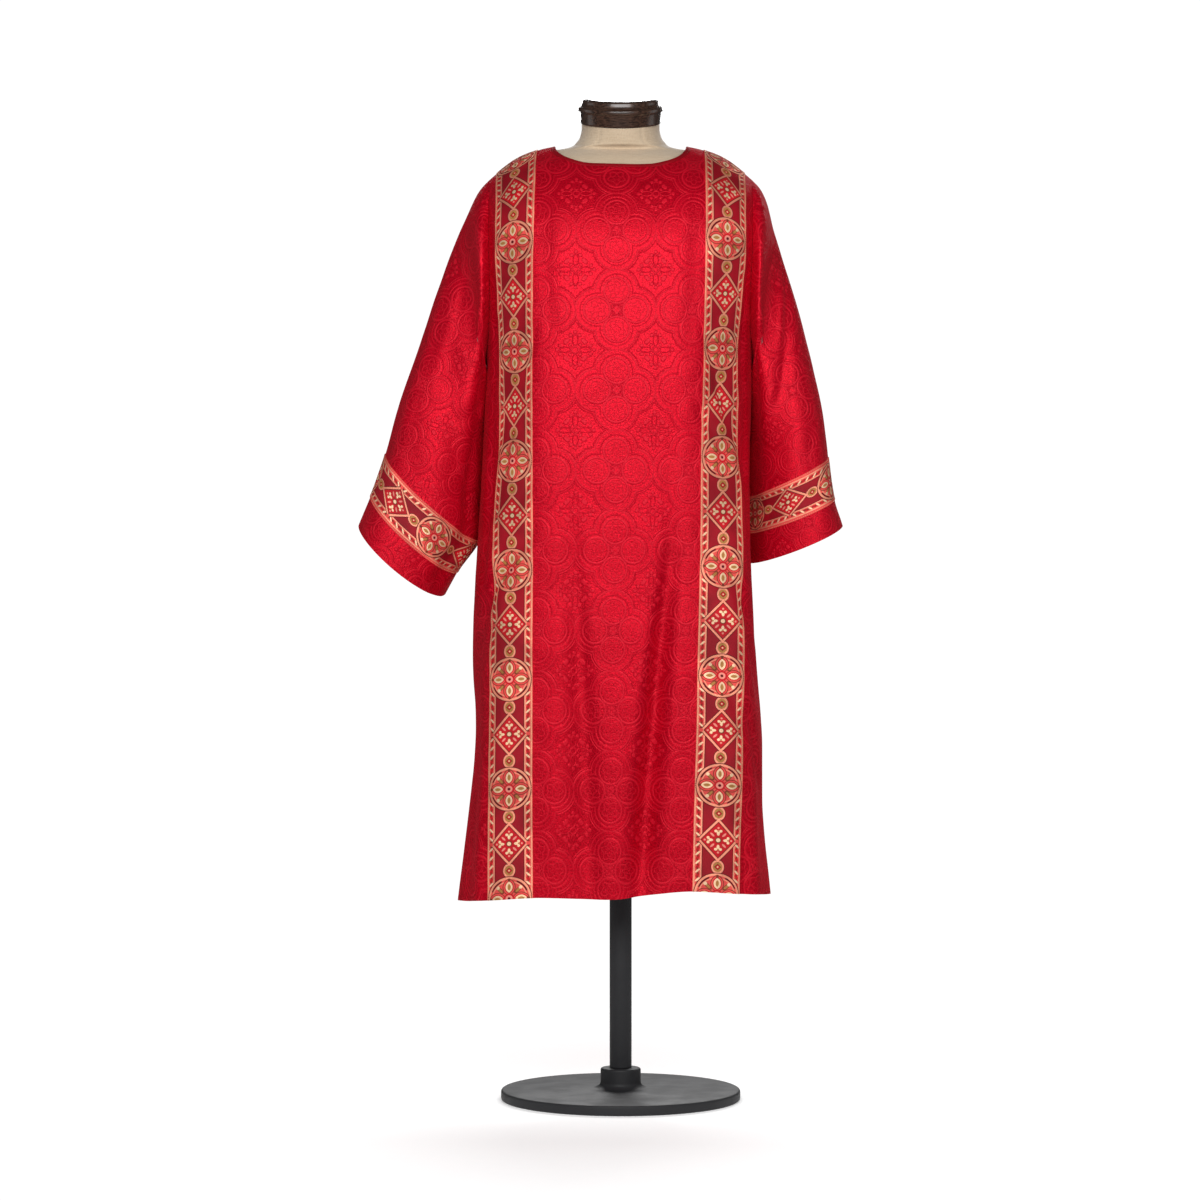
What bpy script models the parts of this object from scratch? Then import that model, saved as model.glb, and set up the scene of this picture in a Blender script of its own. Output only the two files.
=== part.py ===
"""A dalmatic, a wide church tunic of red brocade with woven galloon bands, on a limbless dress form.

Metres, +Z up. The origin is on the floor under the pole, the front of the garment faces -Y, and the wearer's right
sleeve is at -X. Every cloth piece is an open surface worked out from the sizes below and given its wall by Solidify.
"""

import math

import bmesh
import bpy
import numpy as np

# ---------------------------------------------------------------- driving sizes

WALL = 0.0015  # brocade with its backing
GALLOON_WALL = 0.0009
SEAM = 0.0003  # between two pieces that are sewn together
LIFT = 0.00035  # between a panel and the galloon that lies on it
SEAM_STRIP = 0.0012  # a narrow last strip along each seam, so that both rims stand square to the cloth

HEM_Z = 0.328
CHEST_Z = 1.33  # the yoke turns over the shoulders above this line
UNDERARM_Z = 1.17
SLIT_TOP_Z = 0.652

HALF_CLOTH = 0.319  # flat distance from the middle of a panel to its side seam
BAND_OUTER = 0.209  # flat distances from the middle to the two edges of an orphrey band
BAND_INNER = 0.137
ARMHOLE_TOP = 0.2246  # flat distance from the middle to the armhole, at the shoulder and at the chest line
ARMHOLE_CHEST = 0.238

SHOULDER_Y = 0.010
NECK_HALF_WIDTH = 0.105
NECK_FRONT = 0.1065
NECK_BACK = 0.062
NECK_SQUARENESS = 4.0
BINDING_RADIUS = 0.0013

SEAM_COLLAR = 0.014  # how far the sleeve runs straight out of the armhole seam

NECK_LEAN = 15.0  # degrees
NECK_CAP_RADIUS = 0.068
POLE_RADIUS = 0.0175
BASE_RADIUS = 0.190
BASE_THICKNESS = 0.016
HUB_RADIUS = 0.032
HUB_TOP = 0.050
REST_GAP = 0.0003

# Across a panel: the flat distance of each named column of the section tables from the middle.
ACROSS = (-HALF_CLOTH, -BAND_OUTER, -BAND_INNER, 0.0, BAND_INNER, BAND_OUTER, HALF_CLOTH)

# X of each column at each height, from the wearer's right side seam to the left one.
SECTION_X = (
    # z, side, band outer, band inner, middle, band inner, band outer, side
    (1.330, -0.211, -0.1955, -0.1360, 0.000, 0.1300, 0.1934, 0.2085),
    (1.180, -0.213, -0.1888, -0.1363, 0.000, 0.1270, 0.1815, 0.2095),
    (1.020, -0.219, -0.1934, -0.1363, -0.001, 0.1232, 0.1850, 0.2035),
    (0.860, -0.2288, -0.1997, -0.1363, -0.003, 0.1218, 0.1895, 0.2009),
    (0.700, -0.2345, -0.2036, -0.1370, -0.007, 0.1178, 0.1903, 0.2120),
    (0.590, -0.2290, -0.2044, -0.1370, -0.009, 0.1163, 0.1895, 0.2235),
    (0.460, -0.2410, -0.2060, -0.1370, -0.011, 0.1125, 0.1864, 0.2245),
    (0.328, -0.2565, -0.2075, -0.1365, -0.013, 0.1100, 0.1840, 0.2365),
)

# Y of the five inner columns on the front panel. The side seams are at 0, and below them the slits open.
FRONT_Y = (
    # z, band outer, band inner, middle, band inner, band outer
    (1.330, -0.104, -0.146, -0.155, -0.146, -0.112),
    (1.180, -0.098, -0.146, -0.157, -0.146, -0.099),
    (1.020, -0.104, -0.143, -0.152, -0.143, -0.105),
    (0.860, -0.108, -0.141, -0.148, -0.141, -0.120),
    (0.700, -0.116, -0.141, -0.146, -0.141, -0.128),
    (0.590, -0.122, -0.141, -0.145, -0.141, -0.130),
    (0.460, -0.124, -0.139, -0.143, -0.139, -0.130),
    (0.328, -0.124, -0.136, -0.140, -0.136, -0.128),
)

# Y of the same five columns on the back panel.
BACK_Y = (
    (1.330, 0.090, 0.124, 0.130, 0.124, 0.092),
    (1.180, 0.088, 0.122, 0.130, 0.123, 0.088),
    (1.020, 0.092, 0.122, 0.127, 0.122, 0.094),
    (0.860, 0.098, 0.122, 0.127, 0.122, 0.104),
    (0.700, 0.104, 0.123, 0.128, 0.124, 0.110),
    (0.590, 0.108, 0.125, 0.129, 0.125, 0.112),
    (0.460, 0.110, 0.126, 0.130, 0.126, 0.113),
    (0.328, 0.112, 0.127, 0.131, 0.127, 0.114),
)
SLIT_OPEN = {"front": (0.045, 0.040), "back": (0.042, 0.041)}  # at the hem, from the side's middle: right, left

HEM_FRONT_Z = (0.320, 0.3255, 0.3305, 0.3285, 0.3405, 0.3360, 0.3295)
HEM_BACK_Z = (0.322, 0.3300, 0.3330, 0.3300, 0.3350, 0.3320, 0.3280)

# The shoulder line, where front and back meet: flat distance from the middle, X and Z.
SHOULDER = (
    (0.0000, 0.0000, 1.518),
    (0.1070, 0.1050, 1.513),
    (BAND_INNER, 0.1316, 1.507),
    (0.1730, 0.1650, 1.4935),
    (BAND_OUTER, 0.1960, 1.471),
    (ARMHOLE_TOP, 0.2080, 1.461),
)

# The largest folds of the front and back: soft troughs from one point of the cloth to another.
TROUGHS = (
    # panel, across and z of one end, across and z of the other, half width, depth
    ("front", 0.072, 0.880, 0.058, 0.330, 0.017, 0.0100),
    ("front", -0.062, 0.820, -0.072, 0.330, 0.020, 0.0060),
    ("front", -0.160, 1.170, -0.235, 0.900, 0.016, 0.0070),
    ("front", 0.150, 1.150, 0.225, 0.960, 0.016, 0.0070),
    ("front", -0.150, 0.880, -0.262, 0.690, 0.018, 0.0085),
    ("front", 0.165, 0.860, 0.262, 0.640, 0.018, 0.0085),
    ("back", 0.000, 1.180, 0.012, 0.420, 0.024, 0.0080),
    ("back", -0.085, 0.980, -0.098, 0.330, 0.020, 0.0095),
    ("back", 0.092, 1.020, 0.100, 0.330, 0.019, 0.0090),
    ("back", -0.150, 1.150, -0.232, 0.920, 0.017, 0.0070),
    ("back", 0.155, 1.130, 0.230, 0.900, 0.017, 0.0070),
)

# A sleeve's rings from the armhole down: its top line, its under line, which lies a little behind the body's side, its
# half depth, and how much lower its front edge hangs than its back edge. The last three are the band's edges and the hem.
SLEEVE_COLUMNS = ("top_x", "top_y", "top_z", "under_x", "under_y", "under_z", "half_depth", "dip")
SLEEVES = {
    "right": (
        (-0.2490, 0.006, 1.3920, -0.2150, 0.030, 1.1300, 0.088, 0.002),
        (-0.2900, 0.004, 1.2860, -0.2150, 0.040, 1.0750, 0.093, 0.004),
        (-0.3235, 0.002, 1.1820, -0.2175, 0.045, 1.0100, 0.096, 0.007),
        (-0.3490, 0.000, 1.1100, -0.2220, 0.045, 0.9500, 0.097, 0.010),
        (-0.3726, 0.000, 1.0251, -0.2262, 0.042, 0.8890, 0.096, 0.014),
        (-0.3948, 0.000, 0.9600, -0.2620, 0.025, 0.8363, 0.098, 0.017),
        (-0.4131, 0.000, 0.9147, -0.2812, 0.020, 0.8003, 0.100, 0.019),
    ),
    "left": (
        (0.2447, 0.006, 1.3740, 0.2108, 0.030, 1.1350, 0.090, 0.002),
        (0.2771, 0.004, 1.2680, 0.2080, 0.045, 1.0950, 0.098, 0.003),
        (0.3050, 0.002, 1.1580, 0.2062, 0.055, 1.0450, 0.102, 0.005),
        (0.3183, 0.000, 1.0977, 0.2052, 0.060, 1.0050, 0.103, 0.007),
        (0.3290, 0.000, 1.0195, 0.2042, 0.062, 0.9585, 0.103, 0.009),
        (0.3395, 0.000, 0.9535, 0.2035, 0.062, 0.9000, 0.102, 0.011),
        (0.3520, 0.000, 0.9119, 0.2035, 0.058, 0.8530, 0.100, 0.012),
    ),
}

# The dress form from its flat underside to the top of its neck: height, half width, reach forward and back of the
# shoulder line, how square the section is, and how far the ring leans forward.
FORM_COLUMNS = ("z", "half_width", "forward", "back", "square", "lean")
FORM = (
    (0.840, 0.150, 0.112, 0.094, 2.2, 0.0),
    (0.870, 0.158, 0.120, 0.100, 2.2, 0.0),
    (0.950, 0.164, 0.126, 0.104, 2.2, 0.0),
    (1.040, 0.150, 0.116, 0.088, 2.2, 0.0),
    (1.120, 0.142, 0.108, 0.078, 2.2, 0.0),
    (1.200, 0.150, 0.120, 0.084, 2.2, 0.0),
    (1.290, 0.166, 0.142, 0.098, 2.3, 0.0),
    (1.350, 0.178, 0.147, 0.103, 2.4, 0.0),
    (1.400, 0.188, 0.136, 0.098, 2.5, 0.0),
    (1.440, 0.194, 0.116, 0.086, 2.5, 0.0),
    (1.455, 0.1955, 0.105, 0.080, 2.5, 0.0),
    (1.467, 0.1925, 0.096, 0.072, 2.5, 0.0),
    (1.479, 0.1785, 0.086, 0.062, 2.4, 0.0),
    (1.490, 0.1615, 0.076, 0.053, 2.3, 0.0),
    (1.498, 0.1450, 0.065, 0.049, 2.2, 0.0),
    (1.5035, 0.1260, 0.057, 0.047, 2.2, 0.0),
    (1.5075, 0.1000, 0.059, 0.046, 2.1, 1.0),
    (1.512, 0.0820, 0.066, 0.046, 2.0, 3.0),
    (1.521, 0.0700, 0.069, 0.047, 2.0, 7.0),
    (1.536, 0.0630, 0.073, 0.047, 2.0, 12.0),
    (1.553, 0.062, 0.078, 0.046, 2.0, NECK_LEAN),
)
FORM_SIDES = 36
FORM_RINGS_BETWEEN = 1

# ---------------------------------------------------------------- how many rows and columns

MIDDLE_COLUMNS = (0.0, 0.036, 0.067, 0.090, 0.102, 0.1055, 0.1065, 0.107)  # flat distances, close together at the neck's corner
BAND_STEPS = 2
SIDE_STEPS = 3
YOKE_TURNS = (0.0, 0.006, 0.14, 0.29, 0.43, 0.57, 0.71, 0.86, 1.0)  # 0 on the shoulder line, 1 on the chest line
ARMHOLE_ROWS = 5
WAIST_ROWS = 7
SKIRT_ROWS = 5
SLEEVE_STEPS = (2, 1, 1, 1, 1, 2, 1)  # rows between one ring of the table and the next

COLLECTION = "dalmatic on a dress form"


# ---------------------------------------------------------------- scene and materials

def clear_scene():
    for old in list(bpy.data.objects):
        bpy.data.objects.remove(old)


def material(name, colour, roughness, metallic=0.0):
    made = bpy.data.materials.new(name)
    made.use_nodes = True
    shader = made.node_tree.nodes["Principled BSDF"]
    shader.inputs["Base Color"].default_value = (*colour, 1.0)
    shader.inputs["Roughness"].default_value = roughness
    shader.inputs["Metallic"].default_value = metallic
    return made


clear_scene()
collection = bpy.data.collections.new(COLLECTION)
bpy.context.scene.collection.children.link(collection)

BROCADE = material("red_brocade", (0.55, 0.004, 0.018), 0.45)
GALLOON = material("gold_galloon", (0.60, 0.24, 0.08), 0.45)
LINEN = material("natural_linen", (0.62, 0.48, 0.33), 0.85)
WALNUT = material("dark_wood", (0.035, 0.018, 0.012), 0.35)
STEEL = material("black_steel", (0.03, 0.03, 0.032), 0.4, 0.9)


def place(name, mesh, surface_material, smooth=True):
    made = bpy.data.objects.new(name, mesh)
    collection.objects.link(made)
    mesh.materials.append(surface_material)
    if smooth:
        mesh.shade_smooth()
    return made


# ---------------------------------------------------------------- curves and surfaces

def through(knots, values, at):
    """A smooth curve through the values at the knots, read at one or more places."""
    knots = np.asarray(knots, float)
    values = np.asarray(values, float)
    at = np.atleast_1d(np.asarray(at, float))
    slopes = np.gradient(values, knots, axis=0)
    low = np.clip(np.searchsorted(knots, at, side="right") - 1, 0, len(knots) - 2)
    step = knots[low + 1] - knots[low]
    shape = (-1,) + (1,) * (values.ndim - 1)
    part = ((at - knots[low]) / step).reshape(shape)
    step = step.reshape(shape)
    start = (1 + 2 * part) * (1 - part) ** 2 * values[low] + part * (1 - part) ** 2 * step * slopes[low]
    end = part**2 * (3 - 2 * part) * values[low + 1] + part**2 * (part - 1) * step * slopes[low + 1]
    return start + end


def table_row(table, z):
    """A section table's columns at height z."""
    rows = np.array(sorted(table))
    return through(rows[:, 0], rows[:, 1:], z)[0]


def normals(grid, wrap=False):
    """Outward directions at a grid's points, whose rows run down and whose columns run to the right seen from outside."""
    down = np.gradient(grid, axis=0)
    right = (np.roll(grid, -1, 1) - np.roll(grid, 1, 1)) if wrap else np.gradient(grid, axis=1)
    out = np.cross(down, right)
    return out / np.linalg.norm(out, axis=2, keepdims=True)


def sheet(name, grid, wall, cloth, wrap=False, outward=False):
    """A grid of points as an open surface, with its wall from Solidify on the inside or the outside."""
    rows, columns = grid.shape[:2]
    bm = bmesh.new()
    points = [[bm.verts.new(point) for point in row] for row in grid]
    for r in range(rows - 1):
        for c in range(columns if wrap else columns - 1):
            d = (c + 1) % columns
            bm.faces.new((points[r][c], points[r + 1][c], points[r + 1][d], points[r][d]))
    mesh = bpy.data.meshes.new(name)
    bm.to_mesh(mesh)
    bm.free()
    made = place(name, mesh, cloth)
    solid = made.modifiers.new("wall", "SOLIDIFY")
    solid.thickness = wall
    solid.offset = 1.0 if outward else -1.0
    return made


# ---------------------------------------------------------------- the body of the dalmatic

PANELS = {
    "front": {"sign": -1, "y": FRONT_Y, "opposite": BACK_Y, "hem": HEM_FRONT_Z, "neck": NECK_FRONT},
    "back": {"sign": 1, "y": BACK_Y, "opposite": FRONT_Y, "hem": HEM_BACK_Z, "neck": NECK_BACK},
}
BEYOND = 2 * HALF_CLOTH - BAND_OUTER
SEAM_FADE = 0.035
SLIT_CURVE = 1.4
ACROSS_AND_BEYOND = (-BEYOND, *ACROSS, BEYOND)


def trough_depth(panel, across, z):
    """How far the cloth sinks at a point: the sum of the panel's troughs, soft across, fading at ends and seams."""
    total = 0.0
    inside = max(0.0, min(1.0, (HALF_CLOTH - SEAM_STRIP - abs(across)) / SEAM_FADE))
    inside *= inside * (3 - 2 * inside)
    for on, s0, z0, s1, z1, width, depth in TROUGHS:
        if on != panel:
            continue
        run = (z0 - z) / (z0 - z1)
        middle = s0 + (s1 - s0) * run
        lean = (z0 - z1) / math.hypot(z0 - z1, s1 - s0)
        beside = (across - middle) * lean / width
        fade = 1 / (1 + math.exp(-12 * run)) / (1 + math.exp(12 * (run - 1.15)))
        total += depth * fade * math.exp(-beside * beside)
    return total * inside


def low_point(panel, across, z):
    """A point of a panel below the chest line, before its folds. z is the height on a level hem."""
    settings = PANELS[panel]
    level_x = table_row(SECTION_X, z)
    level_y = table_row(settings["y"], z)
    other_y = table_row(settings["opposite"], z)
    open_share = max(0.0, (SLIT_TOP_Z - z) / (SLIT_TOP_Z - HEM_Z)) ** SLIT_CURVE
    right_y, left_y = (settings["sign"] * wide * open_share for wide in SLIT_OPEN[panel])
    xs = (level_x[1], *level_x, level_x[-2])
    ys = (other_y[0], right_y, *level_y, left_y, other_y[-1])
    x = through(ACROSS_AND_BEYOND, xs, across)[0]
    y = through(ACROSS_AND_BEYOND, ys, across)[0]
    hem = through(ACROSS, settings["hem"], across)[0]
    drop = (CHEST_Z - z) / (CHEST_Z - HEM_Z)
    return np.array((x, y, CHEST_Z - drop * (CHEST_Z - hem)))


def folded(panel, across, z):
    """The same point, sunk by the troughs square to the cloth."""
    point = low_point(panel, across, z)
    depth = trough_depth(panel, across, z)
    if depth < 1e-6:
        return point
    near = 0.004
    right = low_point(panel, across + near, z) - low_point(panel, across - near, z)
    down = low_point(panel, across, z - near) - low_point(panel, across, z + near)
    out = np.cross(down, right) * (1 if panel == "front" else -1)
    return point - out / np.linalg.norm(out) * depth


def yoke_point(panel, across_top, across_chest, turn):
    """A point of the yoke: a quarter of an oval from the shoulder line, at turn 0, to the chest line, at turn 1."""
    table = np.array(SHOULDER)
    side = math.copysign(1.0, across_top)
    top_x = side * through(table[:, 0], table[:, 1], abs(across_top))[0]
    top_z = through(table[:, 0], table[:, 2], abs(across_top))[0]
    chest = folded(panel, across_chest, CHEST_Z)
    angle = turn * math.pi / 2
    return np.array((
        top_x + (chest[0] - top_x) * (1 - math.cos(angle)),
        SHOULDER_Y + (chest[1] - SHOULDER_Y) * math.sin(angle),
        chest[2] + (top_z - chest[2]) * math.cos(angle),
    ))


def neck_turn(panel, across):
    """The turn of the yoke at which a column starts at the neck opening, or 0 where it starts on the shoulder line."""
    table = np.array(SHOULDER)
    x = through(table[:, 0], table[:, 1], abs(across))[0]
    if x >= NECK_HALF_WIDTH:
        return 0.0
    settings = PANELS[panel]
    reach = settings["neck"] * (1 - (x / NECK_HALF_WIDTH) ** NECK_SQUARENESS) ** (1 / NECK_SQUARENESS)
    chest_y = low_point(panel, across, CHEST_Z)[1]
    return math.asin(reach / abs(chest_y - SHOULDER_Y)) * 2 / math.pi


def column_list():
    """Each column as (kind, value): a flat distance from the middle, or the share of the way from the band to the edge."""
    band = [BAND_INNER + (BAND_OUTER - BAND_INNER) * k / BAND_STEPS for k in range(BAND_STEPS + 1)]
    inside = [("across", s) for s in (*MIDDLE_COLUMNS, *band)]
    beside = [("share", k / SIDE_STEPS) for k in range(1, SIDE_STEPS)]
    beside += [("strip", 1.0), ("share", 1.0)]
    half = inside + beside
    left = [(kind, value, 1.0) for kind, value in half]
    right = [(kind, value, -1.0) for kind, value in half[1:]]
    return right[::-1] + left


COLUMNS = column_list()


def spread(column, edge):
    """The flat distance of a column from the middle, where the panel's edge lies at the distance edge."""
    kind, value, side = column
    if kind == "across":
        return side * value
    if kind == "strip":
        return side * (edge - SEAM_STRIP)
    return side * (BAND_OUTER + (edge - BAND_OUTER) * value)


def armhole_edge(z):
    """The flat distance of a panel's edge from its middle at height z, at and below the chest line."""
    if z <= UNDERARM_Z:
        return HALF_CLOTH
    rise = (CHEST_Z - z) / (CHEST_Z - UNDERARM_Z)
    return HALF_CLOTH - (HALF_CLOTH - ARMHOLE_CHEST) * math.sqrt(max(0.0, 1 - rise * rise))


def row_heights():
    """Heights of the rows below the chest line: close together where the armhole's curve turns, then even."""
    armhole = [
        CHEST_Z - (CHEST_Z - UNDERARM_Z) * math.sin(k / ARMHOLE_ROWS * math.pi / 2)
        for k in range(1, ARMHOLE_ROWS + 1)
    ]
    waist = [
        UNDERARM_Z + (SLIT_TOP_Z - UNDERARM_Z) * k / WAIST_ROWS for k in range(1, WAIST_ROWS + 1)
    ]
    skirt = [SLIT_TOP_Z + (HEM_Z - SLIT_TOP_Z) * k / SKIRT_ROWS for k in range(1, SKIRT_ROWS + 1)]
    return armhole + waist + skirt


def panel_grid(panel):
    """All points of a panel, a row for each height, with the columns from -X to +X."""
    columns = COLUMNS
    rows = []
    for step in YOKE_TURNS:
        row = []
        for column in columns:
            top = spread(column, ARMHOLE_TOP)
            start = neck_turn(panel, top) if column[0] == "across" else 0.0
            turn = start + (1 - start) * step
            row.append(yoke_point(panel, top, spread(column, ARMHOLE_CHEST), turn))
        rows.append(row)
    for z in row_heights():
        rows.append([folded(panel, spread(column, armhole_edge(z)), z) for column in columns])
    return np.array(rows)


def pull_seams_apart(grid, panel):
    """Leaves the seam's gap along the shoulder line, and along the side seam and the slit below the underarm."""
    sign = PANELS[panel]["sign"]
    apart = grid.copy()
    on_shoulder = [
        c for c, column in enumerate(COLUMNS)
        if column[0] != "across" or neck_turn(panel, spread(column, ARMHOLE_TOP)) == 0.0
    ]
    apart[0, on_shoulder, 1] += sign * SEAM / 2
    underarm = len(YOKE_TURNS) - 1 + ARMHOLE_ROWS
    for edge in (0, -1):
        apart[underarm:, edge, 1] += sign * SEAM / 2
    return apart


whole = {panel: panel_grid(panel) for panel in PANELS}
cut = {panel: pull_seams_apart(whole[panel], panel) for panel in PANELS}

sheet("front_panel", cut["front"], WALL, BROCADE)
sheet("back_panel", cut["back"][:, ::-1], WALL, BROCADE)


# ---------------------------------------------------------------- orphrey bands over the shoulders

def strip_over_shoulder(low, high):
    """The points of one band, from the back hem up over the shoulder to the front hem, lifted off the panels."""
    front = whole["front"][:, low : high + 1]
    back = whole["back"][:, low : high + 1]
    points = np.concatenate((back[::-1], front[1:]))
    return points + normals(points) * LIFT


def columns_between(side):
    return [
        c for c, (kind, value, at) in enumerate(COLUMNS)
        if kind == "across" and at == side and value >= BAND_INNER - 1e-9
    ]


for hand, side in (("right", -1.0), ("left", 1.0)):
    found = columns_between(side)
    sheet(f"orphrey_{hand}", strip_over_shoulder(found[0], found[-1]), GALLOON_WALL, GALLOON, outward=True)


# ---------------------------------------------------------------- sleeves and cuff bands

def armhole_loop(side):
    """The armhole's points, from the shoulder down the front to the underarm and up the back."""
    edge = 0 if side < 0 else -1
    underarm = len(YOKE_TURNS) - 1 + ARMHOLE_ROWS
    front = whole["front"][: underarm + 1, edge]
    back = whole["back"][1:underarm, edge]
    return np.concatenate((front, back[::-1]))


def loop_angles(loop):
    """The angle round the sleeve of each of the loop's points, by the share of its front or back length."""
    half = len(YOKE_TURNS) - 1 + ARMHOLE_ROWS
    closed = np.concatenate((loop, loop[:1]))
    steps = np.linalg.norm(np.diff(closed, axis=0), axis=1)
    front = np.concatenate(([0.0], np.cumsum(steps[:half]))) / steps[:half].sum()
    back = np.cumsum(steps[half:])[:-1] / steps[half:].sum()
    return np.concatenate((front, 1 + back)) * math.pi


def sleeve_ring(row, angles):
    """One ring of a sleeve: an oval between its top line and its under line, deeper near the top, its front lower."""
    ring = dict(zip(SLEEVE_COLUMNS, row))
    top = np.array((ring["top_x"], ring["top_y"], ring["top_z"]))
    under = np.array((ring["under_x"], ring["under_y"], ring["under_z"]))
    middle = (top + under) / 2
    half = (top - under) / 2
    along = np.array((half[2], 0.0, -half[0])) / math.hypot(half[0], half[2])
    if along[2] > 0:
        along = -along
    points = []
    for angle in angles:
        deep = math.copysign(abs(math.sin(angle)) ** 0.85, math.sin(angle))
        deep *= 1 + 0.12 * math.cos(angle)
        point = middle + half * math.cos(angle) + along * ring["dip"] * math.sin(angle)
        point[1] -= ring["half_depth"] * deep
        points.append(point)
    return np.array(points)


def seam_directions(angles, side):
    """The way the sleeve leaves the armhole seam: out and down on top, out and forward or back elsewhere."""
    on_top = np.maximum(0.0, np.cos(angles))
    out = 0.45 + 0.25 * on_top
    forward = -0.8 * np.sin(angles)
    down = -(0.18 + 0.54 * on_top) - 0.55 * np.maximum(0.0, -np.cos(angles))
    ways = np.stack((side * out, forward, down), axis=1)
    return ways / np.linalg.norm(ways, axis=1, keepdims=True)


def sleeve_rings(side, rows):
    """Rings at the seam, just past it, at the end of its collar, and at each row of the table."""
    loop = armhole_loop(side)
    angles = loop_angles(loop)
    ways = seam_directions(angles, side)
    seam = loop + ways * SEAM + np.array((side * SEAM, 0.0, 0.0))
    rings = [seam, seam + ways * SEAM_STRIP, seam + ways * SEAM_COLLAR]
    rings += [sleeve_ring(row, angles) for row in rows]
    return np.array(rings)


def sleeve_grid(side, rows):
    """The sleeve's points, a row for each ring and the rows between, and the numbers of the band's two edge rows."""
    rings = sleeve_rings(side, rows)
    middles = rings.mean(axis=1)
    knots = np.concatenate(([0.0], np.cumsum(np.linalg.norm(np.diff(middles, axis=0), axis=1))))
    at = [knots[0], knots[1], knots[2]]
    for k, steps in enumerate(SLEEVE_STEPS):
        low, high = knots[2 + k], knots[3 + k]
        at += [low + (high - low) * (n + 1) / steps for n in range(steps)]
    grid = through(knots, rings, at)
    lower = len(at) - 1 - SLEEVE_STEPS[-1]
    upper = lower - SLEEVE_STEPS[-2]
    return grid, upper, lower


for hand, side in (("right", -1.0), ("left", 1.0)):
    points, upper, lower = sleeve_grid(side, SLEEVES[hand])
    if side > 0:
        points = points[:, ::-1]
    sheet(f"sleeve_{hand}", points, WALL, BROCADE, wrap=True)
    lifted = (points + normals(points, wrap=True) * LIFT)[upper : lower + 1]
    sheet(f"cuff_band_{hand}", lifted, GALLOON_WALL, GALLOON, wrap=True, outward=True)


# ---------------------------------------------------------------- neck binding

def neck_loop(values):
    """The panels' first row round the neck opening: the front from one shoulder to the other, and back round."""
    inside = [
        c for c, column in enumerate(COLUMNS)
        if column[0] == "across" and column[1] <= MIDDLE_COLUMNS[-1] + 1e-9
    ]
    front = values["front"][0, inside]
    back = values["back"][0, inside]
    front[[0, -1]] = (front[[0, -1]] + back[[0, -1]]) / 2
    return np.concatenate((front, back[-2:0:-1]))


def neck_binding():
    """A rolled edge of the same cloth, whose middle runs beside the panels' rim, in line with their walls."""
    loop = neck_loop(whole)
    out = neck_loop({"front": normals(whole["front"]), "back": -normals(whole["back"])})
    ahead = np.roll(loop, -1, 0) - np.roll(loop, 1, 0)
    inward = np.cross(out, ahead)
    inward /= np.linalg.norm(inward, axis=1, keepdims=True)
    middle = loop + inward * (BINDING_RADIUS + 2 * SEAM) - out * WALL / 2
    curve = bpy.data.curves.new("neck_binding", "CURVE")
    curve.dimensions = "3D"
    curve.bevel_depth = BINDING_RADIUS
    curve.bevel_resolution = 1
    spline = curve.splines.new("POLY")
    spline.points.add(len(middle) - 1)
    for point, place_at in zip(spline.points, middle):
        point.co = (*place_at, 1.0)
    spline.use_cyclic_u = True
    curve.materials.append(BROCADE)
    made = bpy.data.objects.new("neck_binding", curve)
    collection.objects.link(made)


neck_binding()


# ---------------------------------------------------------------- the dress form and its stand

def form_ring(ring):
    lean = math.tan(math.radians(ring["lean"]))
    points = []
    for k in range(FORM_SIDES):
        angle = 2 * math.pi * k / FORM_SIDES
        across, deep = math.cos(angle), math.sin(angle)
        power = 2 / ring["square"]
        x = ring["half_width"] * math.copysign(abs(across) ** power, across)
        reach = ring["back"] if deep > 0 else ring["forward"]
        y = reach * math.copysign(abs(deep) ** power, deep)
        points.append((x, SHOULDER_Y + y, ring["z"] + y * lean))
    return points


def dress_form():
    """The padded torso with its neck: rings from the table, closed by a flat face below and one at the neck's top."""
    table = np.array(FORM)
    at = []
    for low, high in zip(table[:-1, 0], table[1:, 0]):
        at += [low + (high - low) * k / (FORM_RINGS_BETWEEN + 1) for k in range(FORM_RINGS_BETWEEN + 1)]
    at.append(table[-1, 0])
    values = through(table[:, 0], table, at)
    bm = bmesh.new()
    rings = [
        [bm.verts.new(point) for point in form_ring(dict(zip(FORM_COLUMNS, row)))] for row in values
    ]
    for low, high in zip(rings, rings[1:]):
        for k in range(FORM_SIDES):
            n = (k + 1) % FORM_SIDES
            bm.faces.new((low[k], low[n], high[n], high[k]))
    bm.faces.new(rings[0][::-1])
    bm.faces.new(rings[-1])
    mesh = bpy.data.meshes.new("form_torso")
    bm.to_mesh(mesh)
    bm.free()
    place("form_torso", mesh, LINEN)


def turned(name, profile, surface_material, sides=48):
    """A profile of radius and height, listed from the top at the axis down the outside, turned about Z."""
    mesh = bpy.data.meshes.new(name)
    points = [(radius, 0.0, z) for radius, z in profile]
    mesh.from_pydata(points, [(k, k + 1) for k in range(len(points) - 1)], [])
    made = place(name, mesh, surface_material, smooth=False)
    screw = made.modifiers.new("turn", "SCREW")
    screw.steps = sides
    screw.render_steps = sides
    screw.use_merge_vertices = True
    screw.merge_threshold = 0.00005
    return made


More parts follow.
